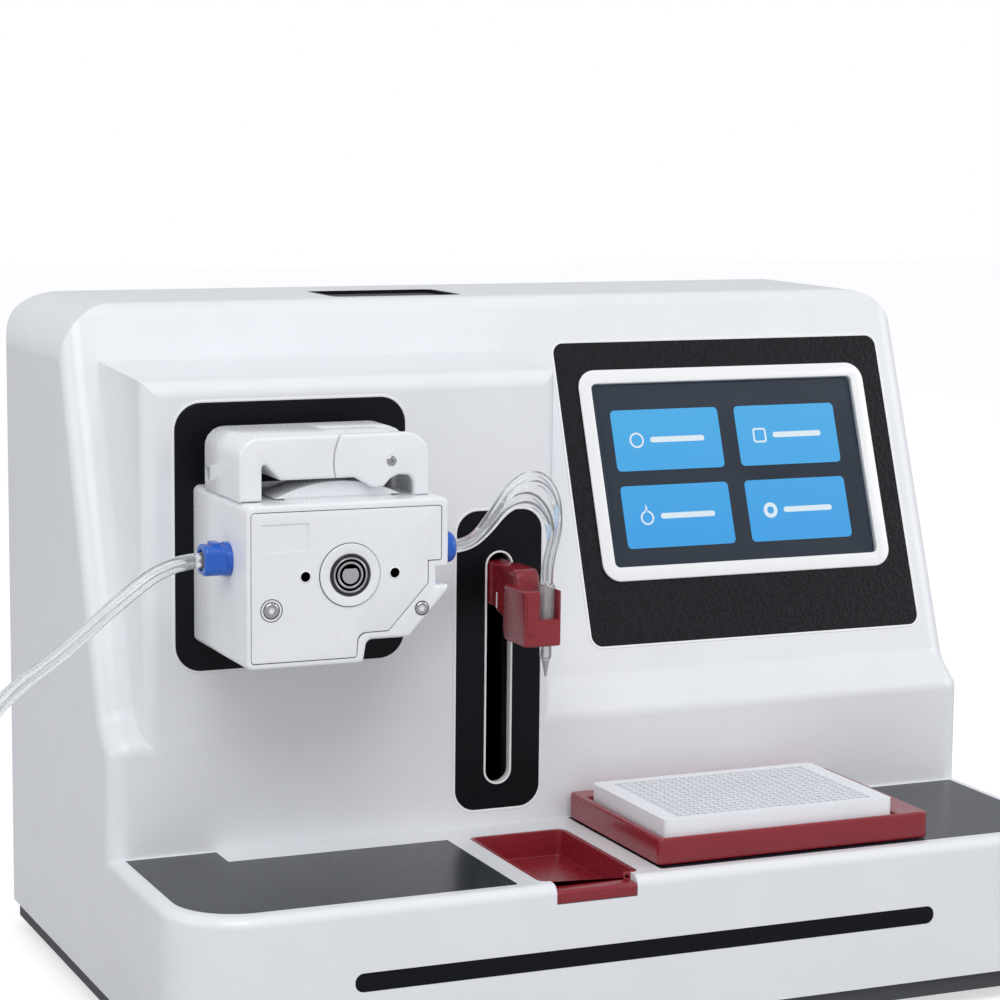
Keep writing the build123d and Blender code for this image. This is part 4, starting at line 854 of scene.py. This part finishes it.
def on_front(name, place, section, material, sides, replaced=None, **options):
    """A turned piece on the pump's front."""
    profile = [(radius, PUMP_FRONT + depth) for radius, depth in section]
    piece = turned(name, *place, profile, material, sides=sides, **options)
    if replaced:
        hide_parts(replaced)
    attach(piece, "chassis")


def screw_section(radius):
    return [(0.05, 0.9), (1.5, 0.9), (1.65, -0.4), (radius - 0.5, -0.6), (radius - 0.1, -0.35),
            (radius, 1.5)]


# A thin black ring round a screw head: painted shade in the groove round it.
def groove_shade_section(radius):
    inner, outer = radius + 0.05, radius + 0.45
    return [(inner, 1), (inner, -0.1), (outer, -0.1), (outer, 1), (inner, 1)]


for ring_name, (ring_material, section) in RINGS.items():
    on_front(ring_name, PUMP_AXIS, section, ring_material, 72)
for number, place in enumerate(HOLES, 1):
    on_front(f"hole_rim_{number}", place, HOLE_RIM, "pump_white", 40)
    on_front(f"hole_shade_{number}", place, HOLE_SHADE, "black_plastic", 40)
for number, (x, z, radius) in enumerate(SCREWS, 1):
    on_front(f"pump_screw_{number}", (x, z), screw_section(radius), "screw_steel", 48,
             replaced="pump_screws", socket=3)
    on_front(f"screw_groove_shade_{number}", (x, z), groove_shade_section(radius), "black_plastic", 48)
on_front("screw_seat_groove_shade", SCREWS[0][:2], SEAT_GROOVE_SHADE, "black_plastic", 56)
print("bearing rings, 2 holes and 2 screws")

# %% Arch, lever and bed
LEVER_PIN = (-121.2, 280.5)
ARCH_FRONT = -115.0
ARCH_BACK = -62.0
ARCH_TOP = 293.5
SEAM_DROP = 0.15  # the tongue lies this much lower, so that no two faces share a plane
CHEEKS = ((-110.7, ARCH_FRONT), (ARCH_BACK, -85.3))  # back and front of each cheek
CHEEK_EDGES = ((1.5, 0.2), (0.2, 1.5))               # rounds at the front and at the back of each
LEVER = [(-194.3, 264.5, 0.3), (-183.6, 264.5, 0.5), (-183.6, 280.8, 1.2), (-181.6, 280.8, 1.0),
         (-174.6, 273.6, 1.2), (-148.3, 273.6, 0.2), (-149.05, 277.5, 0.1), (-149.2, 281.0, 0.1),
         (-148.85, 285.0, 0.1), (-147.85, 289.0, 0.1), (-146.0, ARCH_TOP, 0.2),
         (-194.3, ARCH_TOP, 9.0)]
TONGUE = [(-150.0, 275.6, 0.1), (-127.2, 275.6, 0.4), (-124.4, 273.6, 0.8), (-121.2, 272.9, 1.0),
          (-117.4, 273.9, 1.0), (-114.7, 276.6, 1.0), (-113.6, 280.5, 1.0), (-113.0, 285.2, 1.5),
          (-114.6, 291.0, 2.0), (-119.2, ARCH_TOP - SEAM_DROP, 2.0),
          (-150.0, ARCH_TOP - SEAM_DROP, 0.1)]
BRACKET = [(-148.0, 273.6, 0.2), (-139.0, 273.6, 3.0), (-134.8, 271.2, 2.0), (-129.8, 268.4, 2.5),
           (-124.6, 268.9, 2.0), (-121.6, 272.2, 2.0), (-117.6, 274.0, 3.0), (-111.6, 273.6, 3.0),
           (-109.7, 269.6, 2.0), (-109.7, 264.1, 0.2), (-102.2, 264.1, 0.2),
           (-102.2, ARCH_TOP, 11.0), (-145.7, ARCH_TOP, 0.2), (-147.55, 289.0, 0.1),
           (-148.55, 285.0, 0.1), (-148.9, 281.0, 0.1), (-148.75, 277.5, 0.1)]
FILLER = [(-107.4, 264.1, 0.2), (-102.5, 264.1, 0.2), (-102.5, 283.0, 3.0), (-105.0, 289.6, 2.0),
          (-107.4, 291.4, 0.5)]
PIN_SECTION = [(0.05, ARCH_FRONT + 0.9), (0.9, ARCH_FRONT + 0.9), (1.0, ARCH_FRONT - 0.15),
               (1.9, ARCH_FRONT - 0.2), (2.3, ARCH_FRONT + 0.1), (2.35, ARCH_BACK)]
LATCH = [(-192.6, 269.4, 0.3), (-189.2, 269.4, 0.3), (-189.2, 274.6, 0.3), (-192.6, 274.6, 0.3)]
KNOB = [(-104.0, 277.2, 0.5), (-97.4, 277.6, 1.2), (-97.4, 286.6, 1.2), (-104.0, 287.0, 0.5)]


def key_of(material):
    """The name under which a material was made here."""
    return next(key for key, made in materials.items() if made == material)


def join(name, pieces):
    """One object from several."""
    mesh = bmesh.new()
    for piece in pieces:
        mesh.from_mesh(piece.data)
    material = key_of(pieces[0].data.materials[0])
    for piece in pieces:
        bpy.data.objects.remove(piece)
    whole = mesh_object(name, mesh, material)
    smooth_by_angle(whole)
    return whole


def make_arch():
    arm = slab("lever_arm", LEVER, ARCH_BACK, ARCH_FRONT, "pump_white", edge=1.5, back_edge=1.5)
    cut(arm, box_cutter(-196, -188.8, -70.5, -63.4, 268.6, 275.4))
    tongue = slab("lever_tongue", TONGUE, -85.8, -110.2, "pump_white", edge=0.3)
    drill(tongue, *LEVER_PIN, 2.6, -80, -116)
    lever = join("lever_arch", [arm, tongue])
    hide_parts("clamp_lever")
    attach(lever, "lever")
    latch = slab("lever_latch", LATCH, -64.2, -67.8, "screw_steel", edge=0.3)
    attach(latch, "lever")
    sides = [slab(f"cheek_{y_front:.0f}", BRACKET, y_back, y_front, "pump_white",
                  edge=front_edge, back_edge=back_edge)
             for (y_back, y_front), (front_edge, back_edge) in zip(CHEEKS, CHEEK_EDGES)]
    for side in sides:
        drill(side, *LEVER_PIN, 2.45, -50, -130)
    filler = slab("arch_filler", FILLER, -85.2, -110.8, "pump_white", edge=0.1)
    knob = slab("arch_knob", KNOB, -76.0, -88.0, "pump_white", edge=1.4, back_edge=1.4)
    bracket = join("arch_bracket", sides + [filler, knob])
    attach(bracket, "chassis")
    pin = turned("lever_pin_head", *LEVER_PIN, PIN_SECTION, "screw_steel", sides=40, socket=3)
    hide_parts("lever_pin")
    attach(pin, "chassis")


def make_bed():
    """The pressure shoe: a wide crown over the casing, and the foot that goes into it."""
    middle, half, peak, low = PUMP_AXIS[0], 30.5, 271.8, 264.6
    radius = (half ** 2 + (peak - low) ** 2) / (2 * (peak - low))
    reach = asin(half / radius)
    crown = [(middle + radius * sin(a), peak - radius + radius * cos(a), 0.05)
             for a in (reach - k * reach / 9 for k in range(19))]
    top = slab("bed_crown", crown, -86.2, -109.9, "pump_white", edge=0.3, back_edge=0.3)
    left, right, foot_low, foot_top = middle - 26, middle + 26, 254.0, low + 1
    outline = [(left, foot_low, 0.3), (right, foot_low, 0.3), (right, foot_top, 0.3),
               (left, foot_top, 0.3)]
    foot = slab("bed_foot", outline, -86.4, -109.7, "pump_white", edge=0.2)
    drill(foot, middle, PUMP_AXIS[1], 29.6, -80, -116)
    bed = join("pressure_bed", [top, foot])
    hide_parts("clamp_bed")
    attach(bed, "bed")


make_arch()
make_bed()
print("arch, lever and bed")

# %% [markdown]
# ## Dispensing head
#
# A red arm comes through the slot and drops to a block that holds the tubes' sleeve in an open
# pocket, above a clear stub with a steel point. The arm is a side profile drawn out across X, so
# it uses the same slab as the pump, with two axes swapped.

# %% Head arm and tip
HEAD_X = -36.2
TIP_Y = -101.5
ARM_PROFILE = [(-86.0, 190.0, 3.0), (-56.5, 196.0, 1.5), (-56.5, 219.6, 2.0), (-80.0, 219.6, 5.0),
               (-82.5, 205.0, 3.0), (-86.0, 203.0, 1.0)]
BLOCK_PROFILE = [(-108.5, 187.0, 1.2), (-84.0, 187.0, 1.2), (-81.5, 192.0, 1.0),
                 (-82.2, 214.0, 2.5), (-108.5, 214.0, 0.8)]
STRIP_PROFILE = [(-49.2, 192.6, 2.4), (-44.0, 192.6, 2.4), (-44.0, 212.6, 0.8),
                 (-49.2, 212.6, 0.8)]
TAG_PROFILE = [(-57.9, 197.5, 0.2), (-56.9, 197.5, 0.2), (-56.9, 205.5, 0.2),
               (-57.9, 205.5, 0.2)]
STUB_SECTION = [(1.2, 188.0), (2.9, 188.0), (2.9, 181.6), (2.3, 179.6), (1.2, 179.6)]
CONE_SECTION = [(1.1, 187.5), (1.1, 180.6), (2.1, 180.2), (2.0, 179.4), (0.45, 171.6),
                (0.35, 171.2)]
NECK_PROFILE = [(-58.0, 197.5, 0.3), (-26.0, 197.5, 0.3), (-26.0, 218.5, 0.3), (-58.0, 218.5, 0.3)]


def swap_axes(piece, order):
    """Puts the coordinates of a piece in another order."""
    for vert in piece.data.vertices:
        vert.co = Vector([vert.co[axis] for axis in order])
    mesh = bmesh.new()
    mesh.from_mesh(piece.data)
    bmesh.ops.recalc_face_normals(mesh, faces=mesh.faces[:])
    mesh.to_mesh(piece.data)
    mesh.free()
    smooth_by_angle(piece)
    return piece


def across(name, profile, x0, x1, edge):
    """A slab drawn out along X from a (y, z) profile."""
    return swap_axes(slab(name, profile, x1, x0, "red_plastic", edge=edge, back_edge=edge),
                     (1, 0, 2))


def make_head():
    neck = across("head_neck", NECK_PROFILE, -41.6, -30.8, 0.3)
    arm = across("head_side", ARM_PROFILE, -42.9, -30.4, 1.3)
    cut(arm, box_cutter(-44, -42.2, -78.5, -58.5, 198.0, 216.5))
    body = across("head_block", BLOCK_PROFILE, -50.3, -31.4, 1.0)
    cut(body, box_cutter(-42.8, -32.6, -110, -95.5, 200.0, 216))
    strip = slab("head_strip", STRIP_PROFILE, -107.0, -109.1, "red_plastic", edge=0.4)
    head = join("dispensing_head", [neck, arm, body, strip])
    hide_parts("head_arm")
    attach(head, "head")
    tag = across("head_tag", TAG_PROFILE, -43.15, -42.6, 0.1)
    tag.data.materials.clear()
    tag.data.materials.append(materials["trim_white"])
    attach(tag, "head")
    for name, section, material in (("tip_stub", STUB_SECTION, "tube_clear"),
                                    ("tip_cone", CONE_SECTION, "screw_steel")):
        piece = swap_axes(turned(name, HEAD_X, TIP_Y, section, material, sides=40), (0, 2, 1))
        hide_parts("dispense_tip")
        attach(piece, "head")


make_head()
print("head, strip, stub and cone")

# %% [markdown]
# ## Softer edges on the frame's pieces
#
# The red carrier and tray, the tube clips, the slot's trim and the screen's frame are mouldings
# as well. A copy of each CAD piece gets a small bevel along its sharp edges and stands for it.

# %% Softened copies
SOFT_EDGES = {"screen_bezel": ("chassis", 0.9), "plate_carrier": ("carrier", 0.9),
              "drip_tray": ("tray", 0.5), "inlet_clip": ("chassis", 0.4),
              "outlet_clip": ("chassis", 0.3), "slot_trim": ("chassis", 0.25)}
SHARP_ANGLE = 38


def soften(node, body, width):
    source = frame["nodes"][node]
    mesh = bmesh.new()
    mesh.from_mesh(source.data)
    bmesh.ops.remove_doubles(mesh, verts=mesh.verts[:], dist=2e-6)
    bmesh.ops.dissolve_limit(mesh, angle_limit=radians(1.0), verts=mesh.verts[:],
                             edges=mesh.edges[:])
    sharp = [edge for edge in mesh.edges
             if edge.is_manifold and edge.calc_face_angle(0) > radians(SHARP_ANGLE)]
    bmesh.ops.bevel(mesh, geom=sharp, offset=width * MM, offset_type="OFFSET", segments=3,
                    profile=0.5, affect="EDGES", clamp_overlap=True)
    piece = mesh_object(f"{node}_moulded", mesh, key_of(source.data.materials[0]))
    smooth_by_angle(piece, SHARP_ANGLE)
    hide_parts(node)
    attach(piece, body)
    return len(sharp)


for soft_node, (soft_body, soft_width) in SOFT_EDGES.items():
    print(soft_node, "edges rounded:", soften(soft_node, soft_body, soft_width))

# %% [markdown]
# ## Rim highlights
#
# A thin white bead runs round each black panel, where the housing turns into its recess: a
# painted highlight for the lit edge of the recess.

# %% Rim highlights
WALL_Y = -44.5
RIM_HIGHLIGHT_SECTION = ((-0.1, -0.4), (-0.1, 0.25), (0.35, 0.5), (1.0, 0.35), (1.3, -0.3))


def rim(name, corners, place, section=RIM_HIGHLIGHT_SECTION):
    """A bead that follows an outline, as a painted highlight; place turns (x, up, out) into a
    point.
    """
    mesh = bmesh.new()
    loops = [[mesh.verts.new(place(p.x, p.y, out)) for p in outline_at(corners, -distance, steps=8)]
             for distance, out in section]
    for low, high in zip(loops, loops[1:] + loops[:1]):
        count = len(low)
        for k in range(count):
            mesh.faces.new((low[k], low[(k + 1) % count], high[(k + 1) % count], high[k]))
    bead = mesh_object(name, mesh, "trim_white")
    smooth_by_angle(bead, 50)
    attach(bead, "chassis")


def rectangle(x0, x1, z0, z1, radius):
    return [(x0, z0, radius), (x1, z0, radius), (x1, z1, radius), (x0, z1, radius)]


def on_wall(x, z, out):
    return Vector((x, WALL_Y - out, z)) * MM


rim("slot_panel_rim_highlight", rectangle(-59.25, -13.25, 93.0, 244.4, 11.0), on_wall)
rim("pump_panel_rim_highlight", rectangle(-203.3, -86.7, 174.1, 302.6, 13.0), on_wall)
rim("screen_panel_rim_highlight", rectangle(25.7, 220.7, 17.0, 179.0, 6.0), on_face)
print("3 rims")

# %% [markdown]
# ## Stage

# %% Floor
FLOOR_SIZE = 12.0
FLOOR_GREY = 0.55
FLOOR_GLOW = 0.62  # added light that makes the floor read as white to the camera


def make_floor():
    _, tree, bsdf = shader_material("floor_white")
    bsdf.inputs["Base Color"].default_value = (FLOOR_GREY, FLOOR_GREY, FLOOR_GREY, 1)
    bsdf.inputs["Roughness"].default_value = 0.9
    path = tree.nodes.new("ShaderNodeLightPath")
    seen = tree.nodes.new("ShaderNodeMath")
    seen.operation = "MAXIMUM"
    glow = tree.nodes.new("ShaderNodeEmission")
    glow.inputs["Color"].default_value = (1, 1, 1, 1)
    tree.links.new(path.outputs["Is Camera Ray"], seen.inputs[0])
    tree.links.new(path.outputs["Is Transmission Ray"], seen.inputs[1])
    scaled = tree.nodes.new("ShaderNodeMath")
    scaled.operation = "MULTIPLY"
    scaled.inputs[1].default_value = FLOOR_GLOW
    tree.links.new(seen.outputs[0], scaled.inputs[0])
    tree.links.new(scaled.outputs[0], glow.inputs["Strength"])
    both = tree.nodes.new("ShaderNodeAddShader")
    tree.links.new(bsdf.outputs[0], both.inputs[0])
    tree.links.new(glow.outputs[0], both.inputs[1])
    tree.links.new(both.outputs[0], tree.nodes["Material Output"].inputs["Surface"])
    mesh = bmesh.new()
    half = FLOOR_SIZE / 2
    mesh.faces.new([mesh.verts.new(corner) for corner in
                    ((-half, -half, 0), (half, -half, 0), (half, half, 0), (-half, half, 0))])
    floor = mesh_object("floor", mesh, "floor_white", smooth=False)


make_floor()
